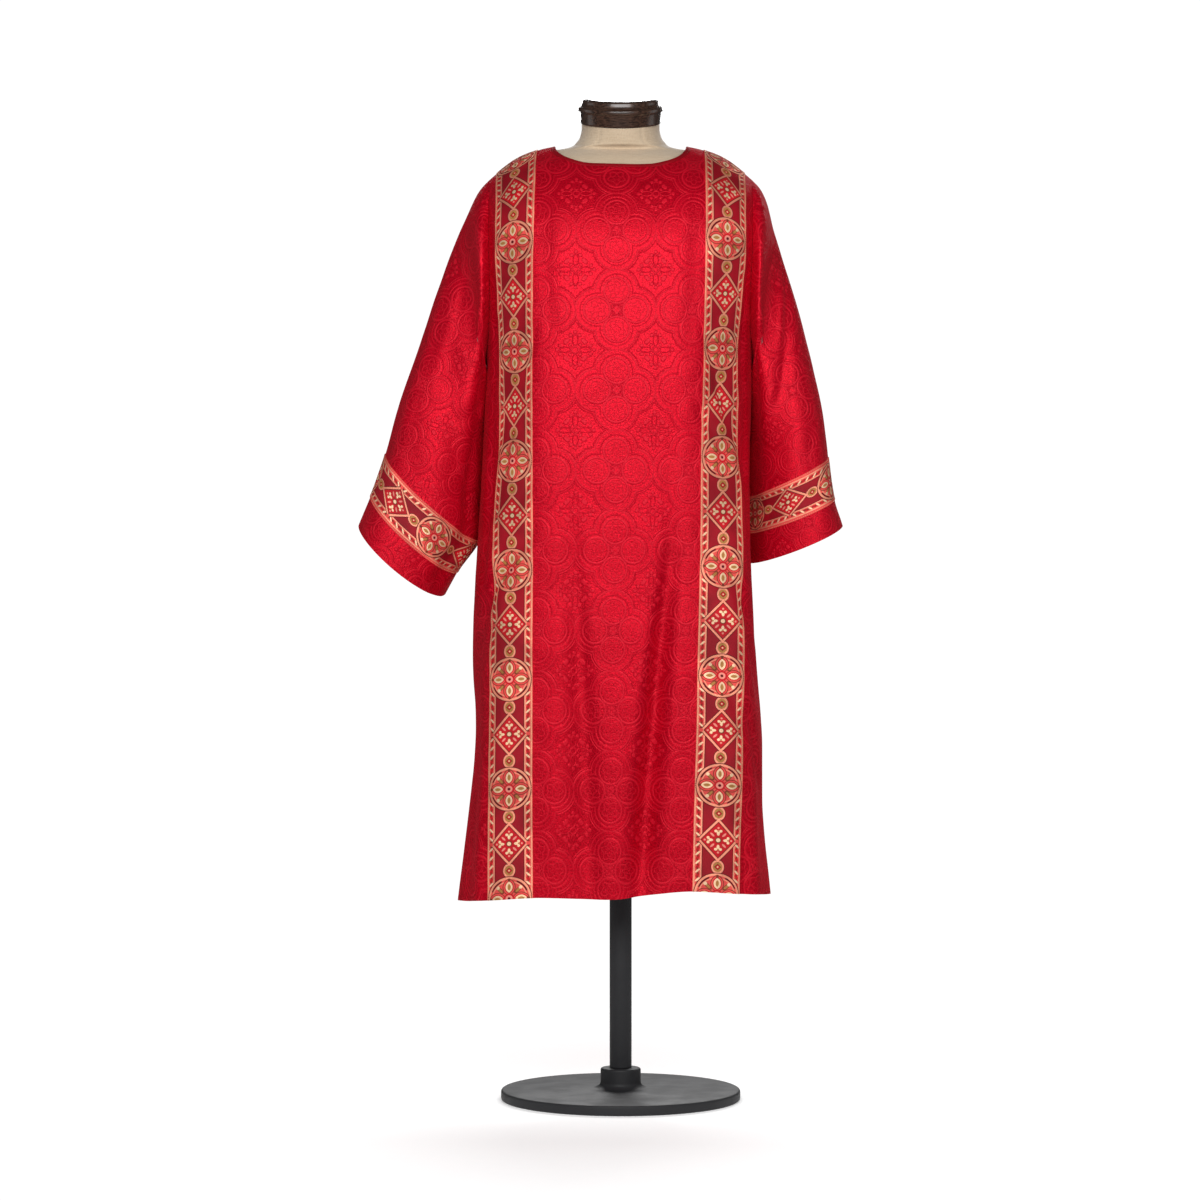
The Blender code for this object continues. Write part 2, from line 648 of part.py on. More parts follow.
def neck_cap():
    """The turned wooden cap, square to the leaning neck."""
    top_ring = dict(zip(FORM_COLUMNS, FORM[-1]))
    lean = math.radians(NECK_LEAN)
    r = NECK_CAP_RADIUS
    profile = (
        (0.0, 0.0400), (0.058, 0.0400), (0.0605, 0.0385), (0.0615, 0.0330), (0.0635, 0.0290),
        (r, 0.0270), (r, 0.0215), (0.0645, 0.0195), (0.0635, 0.0020), (0.0625, 0.0), (0.0, 0.0),
    )
    made = turned("neck_cap", profile, WALNUT)
    middle = (top_ring["back"] - top_ring["forward"]) / 2
    lift = REST_GAP / math.cos(lean)
    made.location = (0.0, SHOULDER_Y + middle, top_ring["z"] + middle * math.tan(lean) + lift)
    made.rotation_euler = (lean, 0.0, 0.0)


def stand():
    half = BASE_THICKNESS
    profile = (
        (0.0, HUB_TOP), (HUB_RADIUS - 0.003, HUB_TOP), (HUB_RADIUS, HUB_TOP - 0.003), (HUB_RADIUS, 0.024),
        (0.040, 0.0185), (BASE_RADIUS - 0.006, half), (BASE_RADIUS, half - 0.006), (BASE_RADIUS, 0.0), (0.0, 0.0),
    )
    turned("stand_base", profile, STEEL, sides=64)
    low = HUB_TOP + REST_GAP
    high = FORM[0][0] - REST_GAP
    bpy.ops.mesh.primitive_cylinder_add(
        vertices=32, radius=POLE_RADIUS, depth=high - low, location=(0.0, 0.0, (low + high) / 2)
    )
    pole = bpy.context.object
    pole.name = "stand_pole"
    pole.data.materials.append(STEEL)
    for old in list(pole.users_collection):
        old.objects.unlink(pole)
    collection.objects.link(pole)


dress_form()
neck_cap()
stand()
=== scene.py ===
"""A red damask dalmatic with woven galloon bands, on a limbless linen dress form.

Metres, +Z up. The front of the garment faces -Y, and the wearer's right sleeve is at -X.
"""

import math

import bmesh
import bpy
import numpy as np
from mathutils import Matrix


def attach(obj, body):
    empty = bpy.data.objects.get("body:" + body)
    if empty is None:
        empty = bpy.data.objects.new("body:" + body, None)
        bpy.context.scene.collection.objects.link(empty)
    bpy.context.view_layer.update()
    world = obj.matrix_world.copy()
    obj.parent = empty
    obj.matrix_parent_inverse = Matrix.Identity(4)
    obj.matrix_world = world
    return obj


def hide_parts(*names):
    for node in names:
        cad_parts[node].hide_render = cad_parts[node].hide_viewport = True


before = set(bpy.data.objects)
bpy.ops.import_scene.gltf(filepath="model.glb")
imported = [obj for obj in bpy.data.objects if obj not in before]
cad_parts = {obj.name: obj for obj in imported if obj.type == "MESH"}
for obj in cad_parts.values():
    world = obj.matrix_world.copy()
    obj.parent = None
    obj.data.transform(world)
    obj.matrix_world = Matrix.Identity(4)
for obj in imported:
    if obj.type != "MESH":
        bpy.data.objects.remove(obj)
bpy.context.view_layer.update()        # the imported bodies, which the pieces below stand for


# ---------------------------------------------------------------- stand
# A turned steel plate with a hub, and the steel tube that stands in it and carries the torso. Both are
# coated with a fine-grained black powder paint.

BASE_RADIUS = 0.190
BASE_THICKNESS = 0.016
HUB_RADIUS = 0.032
HUB_TOP = 0.050
POLE_RADIUS = 0.0175
FIT = 0.0003  # clearance of the tube at both its ends
TORSO_UNDERSIDE = 0.840
COAT_BLACK = (0.016, 0.016, 0.018)
COAT_WORN = (0.026, 0.026, 0.028)


def node(tree, kind, values=(), out=0, **settings):
    """An output of a new node with these settings, and with these values in its inputs, in order or by
    their names."""
    made = tree.nodes.new(kind)
    for name, setting in settings.items():
        setattr(made, name, setting)
    for into, value in values.items() if isinstance(values, dict) else enumerate(values):
        feed(tree, made.inputs[into], value)
    return made.outputs[out]


def feed(tree, into, value):
    """Gives a socket its value: a number, a vector, or what another node works out."""
    value = value.socket if isinstance(value, Amount) else value
    if isinstance(value, bpy.types.NodeSocket):
        tree.links.new(value, into)
    else:
        into.default_value = value


class Amount:
    """A number worked out at every point of a surface. Each sign or step adds the node that does it."""

    def __init__(self, tree, socket):
        self.tree = tree
        self.socket = socket

    def step(self, operation, *others):
        return Amount(self.tree, node(self.tree, "ShaderNodeMath", (self, *others), operation=operation))

    def span(self, low, high, to_low=0.0, to_high=1.0):
        """A soft step from to_low, at low, to to_high, at high."""
        values = (self, low, high, to_low, to_high)
        result = node(self.tree, "ShaderNodeMapRange", values, interpolation_type="SMOOTHSTEP")
        return Amount(self.tree, result)

    def line(self, at, half_width, soft):
        """1 where the number is within half_width of at, and 0 beyond its soft edge."""
        return (self - at).step("ABSOLUTE").span(half_width + soft, half_width - soft)


for sign, operation in (("add", "ADD"), ("sub", "SUBTRACT"), ("mul", "MULTIPLY"), ("truediv", "DIVIDE")):
    setattr(Amount, f"__{sign}__", lambda self, other, name=operation: self.step(name, other))


def largest(*amounts):
    result = amounts[0]
    for amount in amounts[1:]:
        result = result.step("MAXIMUM", amount)
    return result


class Finish:
    """A surface finish: its material, node tree and shader, with short ways to add the nodes that it
    needs."""

    def __init__(self, name, **constants):
        self.material = bpy.data.materials.new(name)
        self.material.use_nodes = True
        self.tree = self.material.node_tree
        self.shader = self.tree.nodes["Principled BSDF"]
        for socket, value in constants.items():
            self.drive(socket.replace("_", " "), value)

    def node(self, kind, values=(), out=0, **settings):
        return node(self.tree, f"ShaderNode{kind}", values, out, **settings)

    def amount(self, kind, values, out=0, **settings):
        return Amount(self.tree, self.node(kind, values, out, **settings))

    def parts(self, vector):
        split = self.node("SeparateXYZ", (vector,)).node
        return [Amount(self.tree, out) for out in split.outputs]

    def vector(self, x, y, z=0.0):
        return self.node("CombineXYZ", (x, y, z))

    def object_place(self):
        return self.node("TexCoord", out="Object")

    def cloth_place(self):
        return self.node("UVMap", uv_map="cloth")

    def distance(self, place, x, y):
        return self.amount("VectorMath", (place, (x, y, 0.0)), "Value", operation="DISTANCE")

    def spot(self, place, x, y, outer, inner):
        """A round spot at x and y: 0 beyond its outer radius, and 1 within its inner one."""
        return self.distance(place, x, y).span(outer, inner)

    def stretched(self, place, x, y, z=1.0):
        return self.node("VectorMath", (place, (x, y, z)), operation="MULTIPLY")

    def noise(self, place, scale, detail=2.0, roughness=0.5):
        values = {"Vector": place, "Scale": scale, "Detail": detail, "Roughness": roughness}
        return self.amount("TexNoise", values)

    def mixed(self, share, low, high):
        """A colour between two others, which are given as numbers or as this call's own result."""
        low, high = ((*colour, 1.0) if isinstance(colour, tuple) else colour for colour in (low, high))
        return self.node("Mix", {0: share, 6: low, 7: high}, 2, data_type="RGBA")

    def between(self, share, low, high):
        """A number between two others."""
        return self.amount("Mix", {0: share, 2: low, 3: high}, data_type="FLOAT")

    def shaded(self, colour, tone):
        """A colour made darker or lighter by a number."""
        return self.node("VectorMath", {0: colour, "Scale": tone}, operation="SCALE")

    def edge_on(self):
        """1 where the surface is seen edge-on, and 0 over all that faces the eye."""
        return self.amount("LayerWeight", {"Blend": 0.5}, "Facing").span(0.48, 0.92)

    def drive(self, name, value):
        feed(self.tree, self.shader.inputs[name], value)

    def colour(self, colour):
        self.drive("Base Color", colour)

    def relief(self, height, depth):
        """Raises the surface by the amount height times depth, in metres, in how it takes the light."""
        self.drive("Normal", self.node("Bump", {"Strength": 1.0, "Distance": depth, "Height": height}))


def powder_coat():
    coat = Finish("black_powder_coat", Roughness=0.5, Specular_IOR_Level=0.3)
    grain = coat.noise(coat.object_place(), 1400.0)
    patches = coat.noise(coat.object_place(), 22.0, 4.0)
    coat.colour(coat.mixed(patches, COAT_BLACK, COAT_WORN))
    coat.drive("Roughness", patches.span(0.3, 0.7, 0.5, 0.64))
    coat.relief(grain, 0.0001)
    return coat.material


def linked(name, data):
    """A new object in the scene."""
    made = bpy.data.objects.new(name, data)
    bpy.context.scene.collection.objects.link(made)
    return made


def mesh_of(name, points, faces=(), edges=()):
    mesh = bpy.data.meshes.new(name)
    mesh.from_pydata(np.asarray(points).tolist(), edges, np.asarray(faces).tolist())
    return mesh


def shown(name, mesh, *finishes):
    """A new piece of the scene, smooth, with its finishes in order."""
    for finish in finishes:
        mesh.materials.append(finish)
    mesh.shade_smooth()
    return linked(name, mesh)


def settled(piece, sharp=None):
    """The piece with its modifiers carried out, as a plain mesh, its edges sharp from that many degrees."""
    bpy.context.view_layer.update()
    seen = piece.evaluated_get(bpy.context.evaluated_depsgraph_get())
    mesh = bpy.data.meshes.new_from_object(seen)
    mesh.name = piece.name
    piece.modifiers.clear()
    piece.data = mesh
    if sharp:
        mesh.set_sharp_from_angle(angle=math.radians(sharp))
    return piece


def turned(name, profile, finish, steps):
    """A profile of radius and height, listed from the top at the axis down the outside, turned about Z."""
    edges = [(k, k + 1) for k in range(len(profile) - 1)]
    made = shown(name, mesh_of(name, [(radius, 0.0, z) for radius, z in profile], edges=edges), finish)
    screw = made.modifiers.new("turn", "SCREW")
    screw.steps = steps
    screw.render_steps = steps
    screw.use_merge_vertices = True
    screw.merge_threshold = 0.00002
    return settled(made, sharp=40)


def unit(ways):
    return ways / np.linalg.norm(ways, axis=-1, keepdims=True)


def rounded(profile, radius, steps=4):
    """The profile with a small arc at each inner corner."""
    points = [profile[0]]
    for before, corner, after in zip(profile, profile[1:], profile[2:]):
        corner = np.array(corner)
        ways = [np.array(point) - corner for point in (before, after)]
        reach = min(radius, *(np.linalg.norm(way) / 2.2 for way in ways))
        start, end = (corner + unit(way) * reach for way in ways)
        for t in np.linspace(0.0, 1.0, steps + 1):
            points.append(tuple((1 - t) ** 2 * start + 2 * t * (1 - t) * corner + t * t * end))
    return points + [profile[-1]]


steel = powder_coat()
base_outline = (
    (0.0, HUB_TOP), (HUB_RADIUS, HUB_TOP), (HUB_RADIUS, 0.024), (0.040, 0.0185),
    (BASE_RADIUS, BASE_THICKNESS), (BASE_RADIUS, 0.0), (0.0, 0.0),
)
stand_plate = turned("stand_plate", rounded(base_outline, 0.004), steel, 192)
pole_outline = (
    (0.0, TORSO_UNDERSIDE - FIT), (POLE_RADIUS, TORSO_UNDERSIDE - FIT),
    (POLE_RADIUS, HUB_TOP + FIT), (0.0, HUB_TOP + FIT),
)
stand_tube = turned("stand_tube", rounded(pole_outline, 0.0008), steel, 64)
for piece, solid in ((stand_plate, "stand_base"), (stand_tube, "stand_pole")):
    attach(piece, "root")
    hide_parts(solid)


# ---------------------------------------------------------------- padded torso
# A limbless tailor's form: a padded shell under natural linen, whose panels meet in seams down the middle,
# the sides and over the bust and shoulder blades. It is flat below, where the tube holds it, and its neck
# leans forward.

SHOULDER_Y = 0.010
NECK_LEAN = 15.0  # degrees
FORM_COLUMNS = ("z", "half_width", "forward", "back", "square", "lean")
FORM = (
    (0.840, 0.150, 0.112, 0.094, 2.2, 0.0),
    (0.870, 0.158, 0.120, 0.100, 2.2, 0.0),
    (0.950, 0.164, 0.126, 0.104, 2.2, 0.0),
    (1.040, 0.150, 0.116, 0.088, 2.2, 0.0),
    (1.120, 0.142, 0.108, 0.078, 2.2, 0.0),
    (1.200, 0.150, 0.120, 0.084, 2.2, 0.0),
    (1.290, 0.166, 0.142, 0.098, 2.3, 0.0),
    (1.350, 0.178, 0.147, 0.103, 2.4, 0.0),
    (1.400, 0.188, 0.136, 0.098, 2.5, 0.0),
    (1.440, 0.194, 0.116, 0.086, 2.5, 0.0),
    (1.455, 0.1955, 0.105, 0.080, 2.5, 0.0),
    (1.467, 0.1925, 0.096, 0.072, 2.5, 0.0),
    (1.479, 0.1785, 0.086, 0.062, 2.4, 0.0),
    (1.490, 0.1615, 0.076, 0.053, 2.3, 0.0),
    (1.498, 0.1450, 0.065, 0.049, 2.2, 0.0),
    (1.5035, 0.1260, 0.057, 0.047, 2.2, 0.0),
    (1.5075, 0.1000, 0.059, 0.046, 2.1, 1.0),
    (1.512, 0.0820, 0.066, 0.046, 2.0, 3.0),
    (1.521, 0.0700, 0.069, 0.047, 2.0, 7.0),
    (1.536, 0.0630, 0.073, 0.047, 2.0, 12.0),
    (1.553, 0.062, 0.078, 0.046, 2.0, NECK_LEAN),
)
FORM_SIDES = 160
RINGS_BETWEEN = 5
FORM_SEAMS = (0, 62, 90, 118, 180, 238, 270, 302)  # degrees round the form, from its left side
SEAM_WIDTH = 0.0022
SEAM_DEPTH = 0.0011
LINEN_PALE = (0.66, 0.53, 0.38)
LINEN_DARK = (0.47, 0.35, 0.23)


def through(knots, values, at):
    """A smooth curve through the values at the knots, read at one or more places."""
    knots = np.asarray(knots, float)
    values = np.asarray(values, float)
    at = np.atleast_1d(np.asarray(at, float))
    slopes = np.gradient(values, knots, axis=0)
    low = np.clip(np.searchsorted(knots, at, side="right") - 1, 0, len(knots) - 2)
    step = knots[low + 1] - knots[low]
    shape = (-1,) + (1,) * (values.ndim - 1)
    part = ((at - knots[low]) / step).reshape(shape)
    step = step.reshape(shape)
    start = (1 + 2 * part) * (1 - part) ** 2 * values[low] + part * (1 - part) ** 2 * step * slopes[low]
    end = part**2 * (3 - 2 * part) * values[low + 1] + part**2 * (part - 1) * step * slopes[low + 1]
    return start + end


def form_ring(ring):
    """Points round the form at one height, drawn in along its seams."""
    lean = math.tan(math.radians(ring["lean"]))
    turn = np.arange(FORM_SIDES) * 2 * math.pi / FORM_SIDES
    power = 2 / ring["square"]
    reach = np.where(np.sin(turn) > 0, ring["back"], ring["forward"])
    around = np.stack((
        ring["half_width"] * np.sign(np.cos(turn)) * np.abs(np.cos(turn)) ** power,
        reach * np.sign(np.sin(turn)) * np.abs(np.sin(turn)) ** power,
    ), axis=1)
    size = np.linalg.norm(around, axis=1)
    drawn = np.zeros(FORM_SIDES)
    for seam in FORM_SEAMS:
        apart = np.angle(np.exp(1j * (turn - math.radians(seam)))) * size
        drawn += SEAM_DEPTH * np.exp(-(apart / SEAM_WIDTH) ** 2)
    around *= ((size - drawn) / size)[:, None]
    return np.column_stack((around[:, 0], SHOULDER_Y + around[:, 1], ring["z"] + around[:, 1] * lean))


def grid_faces(rows, columns, wrap=False):
    """The faces of a grid of points, as the numbers of their corners. Its rows may close on themselves."""
    r, c = np.meshgrid(np.arange(rows - 1), np.arange(columns if wrap else columns - 1), indexing="ij")
    d = (c + 1) % columns
    corners = (r * columns + c, (r + 1) * columns + c, (r + 1) * columns + d, r * columns + d)
    return np.stack(corners, axis=2).reshape(-1, 4)


def loft(name, rings, finish):
    """Rings of points joined one to the next, and closed by a face at each end."""
    count = len(rings[0])
    faces = grid_faces(len(rings), count, wrap=True)[:, [0, 3, 2, 1]].tolist()
    faces += [list(range(count))[::-1], list(range((len(rings) - 1) * count, len(rings) * count))]
    mesh = bpy.data.meshes.new(name)
    mesh.from_pydata(np.concatenate(rings).tolist(), [], faces)
    return shown(name, mesh, finish)


def linen():
    """Plain weave of slubby undyed yarn: threads across and down, each thicker and paler in places."""
    cloth = Finish("natural_linen", Roughness=0.86, Sheen_Weight=0.25, Sheen_Roughness=0.5)
    place = cloth.object_place()
    x, y, z = cloth.parts(place)
    down = (x * 5200.0).step("SINE") * (y * 5200.0).step("SINE")
    across = (z * 5200.0).step("SINE")
    slub = cloth.noise(cloth.stretched(place, 1.0, 1.0, 0.08), 900.0, 2.0)
    slub_across = cloth.noise(cloth.stretched(place, 0.08, 0.08, 1.0), 900.0, 2.0)
    weave = (down + across) * 0.25 + slub + slub_across
    cloud = cloth.noise(place, 9.0, 3.0)
    cloth.colour(cloth.mixed((weave * 0.5 + cloud * 0.4).span(0.35, 1.05), LINEN_DARK, LINEN_PALE))
    cloth.relief(weave, 0.00025)
    return cloth.material


form_rows = np.array(FORM)
steps = np.arange((len(FORM) - 1) * RINGS_BETWEEN + 1) / RINGS_BETWEEN
form_heights = np.interp(steps, np.arange(len(FORM)), form_rows[:, 0])
form_rows = through(form_rows[:, 0], form_rows, form_heights)
form_rings = [form_ring(dict(zip(FORM_COLUMNS, row))) for row in form_rows]
torso = loft("linen_torso", form_rings, linen())
torso.data.set_sharp_from_angle(angle=math.radians(50))
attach(torso, "root")
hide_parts("form_torso")


# ---------------------------------------------------------------- neck cap
# A turned hardwood cap with a rim, stained dark and lacquered, glued to the top of the neck and square to
# its lean.

CAP_RADIUS = 0.068
CAP_OUTLINE = (
    (0.0, 0.0402), (0.054, 0.0400), (0.0605, 0.0385), (0.0615, 0.0330), (0.0635, 0.0290),
    (CAP_RADIUS, 0.0270), (CAP_RADIUS, 0.0215), (0.0645, 0.0195), (0.0635, 0.0020), (0.0625, 0.0), (0.0, 0.0),
)
WOOD_DARK = (0.020, 0.010, 0.007)
WOOD_LIGHT = (0.075, 0.036, 0.022)


def lacquered_wood():
    wood = Finish("dark_lacquered_wood", Roughness=0.3, Coat_Weight=0.45, Coat_Roughness=0.12)
    place = wood.object_place()
    warp = wood.noise(place, 14.0, 3.0)
    x, y, z = wood.parts(wood.stretched(place, 60.0, 420.0, 420.0))
    grain = wood.noise(wood.vector(x + warp * 4.0, y, z), 1.0, 4.0, 0.6)
    wood.colour(wood.mixed(grain.span(0.35, 0.7), WOOD_DARK, WOOD_LIGHT))
    wood.drive("Roughness", grain.span(0.3, 0.8, 0.26, 0.4))
    wood.relief(grain, 0.00012)
    return wood.material


top_ring = dict(zip(FORM_COLUMNS, FORM[-1]))
cap_lean = math.radians(NECK_LEAN)
cap_middle = (top_ring["back"] - top_ring["forward"]) / 2
cap_z = top_ring["z"] + cap_middle * math.tan(cap_lean) + FIT / math.cos(cap_lean)
neck_cap = turned("turned_neck_cap", rounded(CAP_OUTLINE, 0.0012, 3), lacquered_wood(), 160)
cap_points = np.array([vertex.co for vertex in neck_cap.data.vertices])
leaned = np.column_stack((
    cap_points[:, 0],
    SHOULDER_Y + cap_middle + cap_points[:, 1] * math.cos(cap_lean) - cap_points[:, 2] * math.sin(cap_lean),
    cap_z + cap_points[:, 1] * math.sin(cap_lean) + cap_points[:, 2] * math.cos(cap_lean),
))
neck_cap.data.vertices.foreach_set("co", leaned.ravel())
neck_cap.data.update()
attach(neck_cap, "root")
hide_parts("neck_cap")


# ---------------------------------------------------------------- front and back
# Two pieces of red silk damask on a firm backing, 638 mm wide, each cut with a shallow neck and curved
# armholes. They are sewn together along the shoulders and down the sides to the open slits, and they hang
# from the form's shoulders.

WALL = 0.0015
SEAM = 0.0003
STITCH_STEP = 0.0045  # the mesh's own rows and columns
HEM_Z = 0.328
CHEST_Z = 1.33
UNDERARM_Z = 1.17
SLIT_TOP_Z = 0.652
HALF_CLOTH = 0.319
BAND_OUTER = 0.209
BAND_INNER = 0.137
ARMHOLE_TOP = 0.2246
ARMHOLE_CHEST = 0.238
NECK_HALF_WIDTH = 0.105
NECK_CORNER = 0.107  # flat distance from the middle to the neck's corner
NECK_SQUARENESS = 4.0
YOKE_RISE = 0.26  # length of the cloth from the chest line to the shoulder line
SLIT_CURVE = 1.4
SEAM_FADE = 0.035  # the folds fade over this width beside a seam
YOKE_FADE = 0.07  # and over this length below the shoulder
FREE_EDGE = 0.3  # share of the folds that is left at the edge of an open slit
UNDER_BAND = 0.3  # share of the folds that a band's stiffness takes away
FLANK_RISE = 0.22  # share of a fold's depth by which its flanks rise
FLANK_REACH = 2.4
# Hills and hollows of the slightly uneven cloth, and the puckers along the bands: depth and size.
UNEVEN = ((0.0011, 0.085), (0.0005, 0.034))
PUCKERS = (0.0006, 0.016)
LATTICE = 64
ACROSS = (-HALF_CLOTH, -BAND_OUTER, -BAND_INNER, 0.0, BAND_INNER, BAND_OUTER, HALF_CLOTH)

# X of each column at each height, from the wearer's right side seam to the left one, in millimetres.
SECTION_X = (
    # z, side, band outer, band inner, middle, band inner, band outer, side
    (1330, -211, -195.5, -136, 0, 130, 193.4, 208.5),
    (1180, -213, -188.8, -136.3, 0, 127, 181.5, 209.5),
    (1020, -219, -193.4, -136.3, -1, 123.2, 185, 203.5),
    (860, -228.8, -199.7, -136.3, -3, 121.8, 189.5, 200.9),
    (700, -234.5, -203.6, -137, -7, 117.8, 190.3, 212),
    (590, -229, -204.4, -137, -9, 116.3, 189.5, 223.5),
    (460, -241, -206, -137, -11, 112.5, 186.4, 224.5),
    (328, -256.5, -207.5, -136.5, -13, 110, 184, 236.5),
)

# Y of the five inner columns on the front. The side seams are at 0, and the slits open below them.
FRONT_Y = (
    # z, band outer, band inner, middle, band inner, band outer
    (1330, -104, -146, -155, -146, -112),
    (1180, -98, -146, -157, -146, -99),
    (1020, -104, -143, -152, -143, -105),
    (860, -108, -141, -148, -141, -120),
    (700, -116, -141, -146, -141, -128),
    (590, -122, -141, -145, -141, -130),
    (460, -124, -139, -143, -139, -130),
    (328, -124, -136, -140, -136, -128),
)

# Y of the same five columns on the back.
BACK_Y = (
    (1330, 90, 124, 130, 124, 92),
    (1180, 88, 122, 130, 123, 88),
    (1020, 92, 122, 127, 122, 94),
    (860, 98, 122, 127, 122, 104),
    (700, 104, 123, 128, 124, 110),
    (590, 108, 125, 129, 125, 112),
    (460, 110, 126, 130, 126, 113),
    (328, 112, 127, 131, 127, 114),
)

# The shoulder line: flat distance from the middle, X and Z.
SHOULDER = np.array((
    (0.0000, 0.0000, 1.518),
    (NECK_CORNER, NECK_HALF_WIDTH, 1.513),
    (BAND_INNER, 0.1316, 1.507),
    (0.1730, 0.1650, 1.4935),
    (BAND_OUTER, 0.1960, 1.471),
    (ARMHOLE_TOP, 0.2080, 1.461),
))

PANELS = {
    "front": {
        "sign": -1, "y": FRONT_Y, "opposite": BACK_Y, "neck": 0.1065, "slit_open": (0.045, 0.040),
        "hem": (0.320, 0.3255, 0.3305, 0.3285, 0.3405, 0.3360, 0.3295),
    },
    "back": {
        "sign": 1, "y": BACK_Y, "opposite": FRONT_Y, "neck": 0.062, "slit_open": (0.042, 0.041),
        "hem": (0.322, 0.3300, 0.3330, 0.3300, 0.3350, 0.3320, 0.3280),
    },
}

# The folds of the front and back, as they fall: each runs from one point of the cloth to another, bows
# sideways, and sinks by its depth, or rises where that is below 0. Its profile leans: it is steeper towards
# the side it leans to. All but the lean is in millimetres.
FOLDS = {
    # from across, from z, to across, to z, bow, half width from, to, depth, lean
    "front": (
        (86, 840, 48, 300, 4, 16, 26, 20, -0.1),
        (-72, 860, -40, 300, -4, 17, 25, 9.5, 0.1),
        (10, 640, 2, 300, 0, 24, 32, -2.6, 0),
        (-108, 640, -104, 300, 0, 18, 22, -2.2, 0),
        (-134, 1200, -196, 950, 6, 8, 12, 4.2, 0.3),
        (-160, 1170, -235, 900, 8, 14, 18, 6, 0.2),
        (-150, 880, -262, 690, 10, 13, 20, 8.5, 0.25),
        (-168, 800, -262, 650, 6, 8, 12, 3.5, 0),
        (-140, 980, -215, 800, 5, 9, 12, 3, 0),
        (134, 1210, 186, 1040, -5, 8, 11, 4, -0.3),
        (130, 1085, 190, 980, -4, 7, 11, 3.2, -0.2),
        (150, 1150, 225, 960, -8, 14, 18, 6, -0.2),
        (134, 886, 182, 780, -4, 8, 13, 3.8, -0.2),
        (165, 860, 262, 640, -10, 14, 20, 8.5, -0.25),
        (146, 714, 212, 570, -5, 10, 14, 4.8, -0.2),
        (215, 620, 262, 500, -4, 8, 11, 5, 0),
        (-246, 610, -262, 300, 3, 11, 17, 4.5, 0.2),
        (-222, 560, -230, 300, 0, 10, 13, -2.8, 0),
        (236, 520, 250, 300, 0, 12, 18, -4, 0),
        (214, 440, 222, 300, 0, 9, 12, 3, 0),
        (-224, 1440, -228, 1130, 0, 8, 10, 5, 0),
        (-228, 1130, -236, 780, 0, 9, 12, 4, 0),
        (224, 1420, 228, 1130, 0, 8, 10, 5, 0),
        (228, 1130, 238, 820, 0, 9, 12, 4, 0),
        (-90, 1462, 88, 1458, -26, 10, 10, 1.4, 0),
        (-70, 1420, 74, 1424, -30, 13, 13, 1.1, 0),
        (-118, 1440, -104, 1180, 6, 12, 20, 2, 0),
        (118, 1430, 108, 1160, -6, 12, 20, 1.8, 0),
        (86, 1080, 90, 820, 3, 14, 18, 1.8, 0),
        (-78, 1020, -82, 800, -3, 14, 18, 1.4, 0),
    ),
    "back": (
        (0, 1140, 14, 300, 6, 18, 27, 12, 0.2),
        (40, 1060, 46, 300, 0, 18, 22, -3, 0),
        (-40, 1020, -38, 300, 0, 18, 20, -2.6, 0),
        (-85, 960, -96, 300, -4, 15, 23, 13, -0.25),
        (92, 1000, 100, 300, 5, 14, 22, 12.5, 0.25),
        (122, 760, 126, 300, 0, 12, 14, -3.2, 0),
        (-124, 700, -130, 300, 0, 12, 14, -3, 0),
        (-150, 1150, -232, 920, 8, 14, 18, 6, 0.2),
        (155, 1130, 230, 900, -8, 14, 18, 6.2, -0.2),
        (-138, 1030, -206, 840, 5, 9, 12, 3.8, 0.2),
        (140, 990, 214, 790, -5, 9, 13, 4, -0.2),
        (-150, 860, -258, 660, 8, 12, 18, 7.2, 0.2),
        (156, 830, 256, 630, -8, 12, 18, 6.6, -0.2),
        (-240, 560, -256, 300, 3, 11, 16, 4.5, 0),
        (238, 590, 252, 300, 0, 12, 17, 4.2, 0),
        (-110, 1440, -60, 1180, 10, 14, 22, 2.8, 0),
        (106, 1430, 64, 1160, -10, 14, 22, 2.6, 0),
        (-70, 1460, 72, 1456, -22, 10, 10, 1.4, 0),
    ),
}


def table_row(table, z):
    """A section table's columns at height z, in metres."""
    rows = np.array(sorted(table)) / 1000
    return through(rows[:, 0], rows[:, 1:], z)[0]


def subdivided(knots, step):
    """Places from the first knot to the last, every knot among them and none further apart than step."""
    places = [knots[0]]
    for low, high in zip(knots, knots[1:]):
        count = math.ceil(abs(high - low) / step - 1e-9)
        places += [low + (high - low) * (k + 1) / count for k in range(count)]
    return np.array(places)


def spread(reach, edge):
    """Flat distances of the columns from the middle, where the piece's edge lies at the distance edge."""
    beyond = np.maximum(0.0, np.abs(reach) - BAND_OUTER) / (HALF_CLOTH - BAND_OUTER)
    return np.sign(reach) * (np.minimum(np.abs(reach), BAND_OUTER) + beyond * (edge - BAND_OUTER))


def level_line(panel, across, z):
    """A level line round a panel, at flat distances across from its middle, before its folds."""
    cut = PANELS[panel]
    xs = table_row(SECTION_X, z)
    ys = table_row(cut["y"], z)
    other = table_row(cut["opposite"], z)
    open_share = max(0.0, (SLIT_TOP_Z - z) / (SLIT_TOP_Z - HEM_Z)) ** SLIT_CURVE
    right_y, left_y = (cut["sign"] * wide * open_share for wide in cut["slit_open"])
    beyond = 2 * HALF_CLOTH - BAND_OUTER
    knots = (-beyond, *ACROSS, beyond)
    x = through(knots, (xs[1], *xs, xs[-2]), across)
    y = through(knots, (other[0], right_y, *ys, left_y, other[-1]), across)
    hem = through(ACROSS, cut["hem"], across)
    drop = (CHEST_Z - z) / (CHEST_Z - HEM_Z)
    return np.stack((x, y, CHEST_Z - drop * (CHEST_Z - hem)), axis=1)


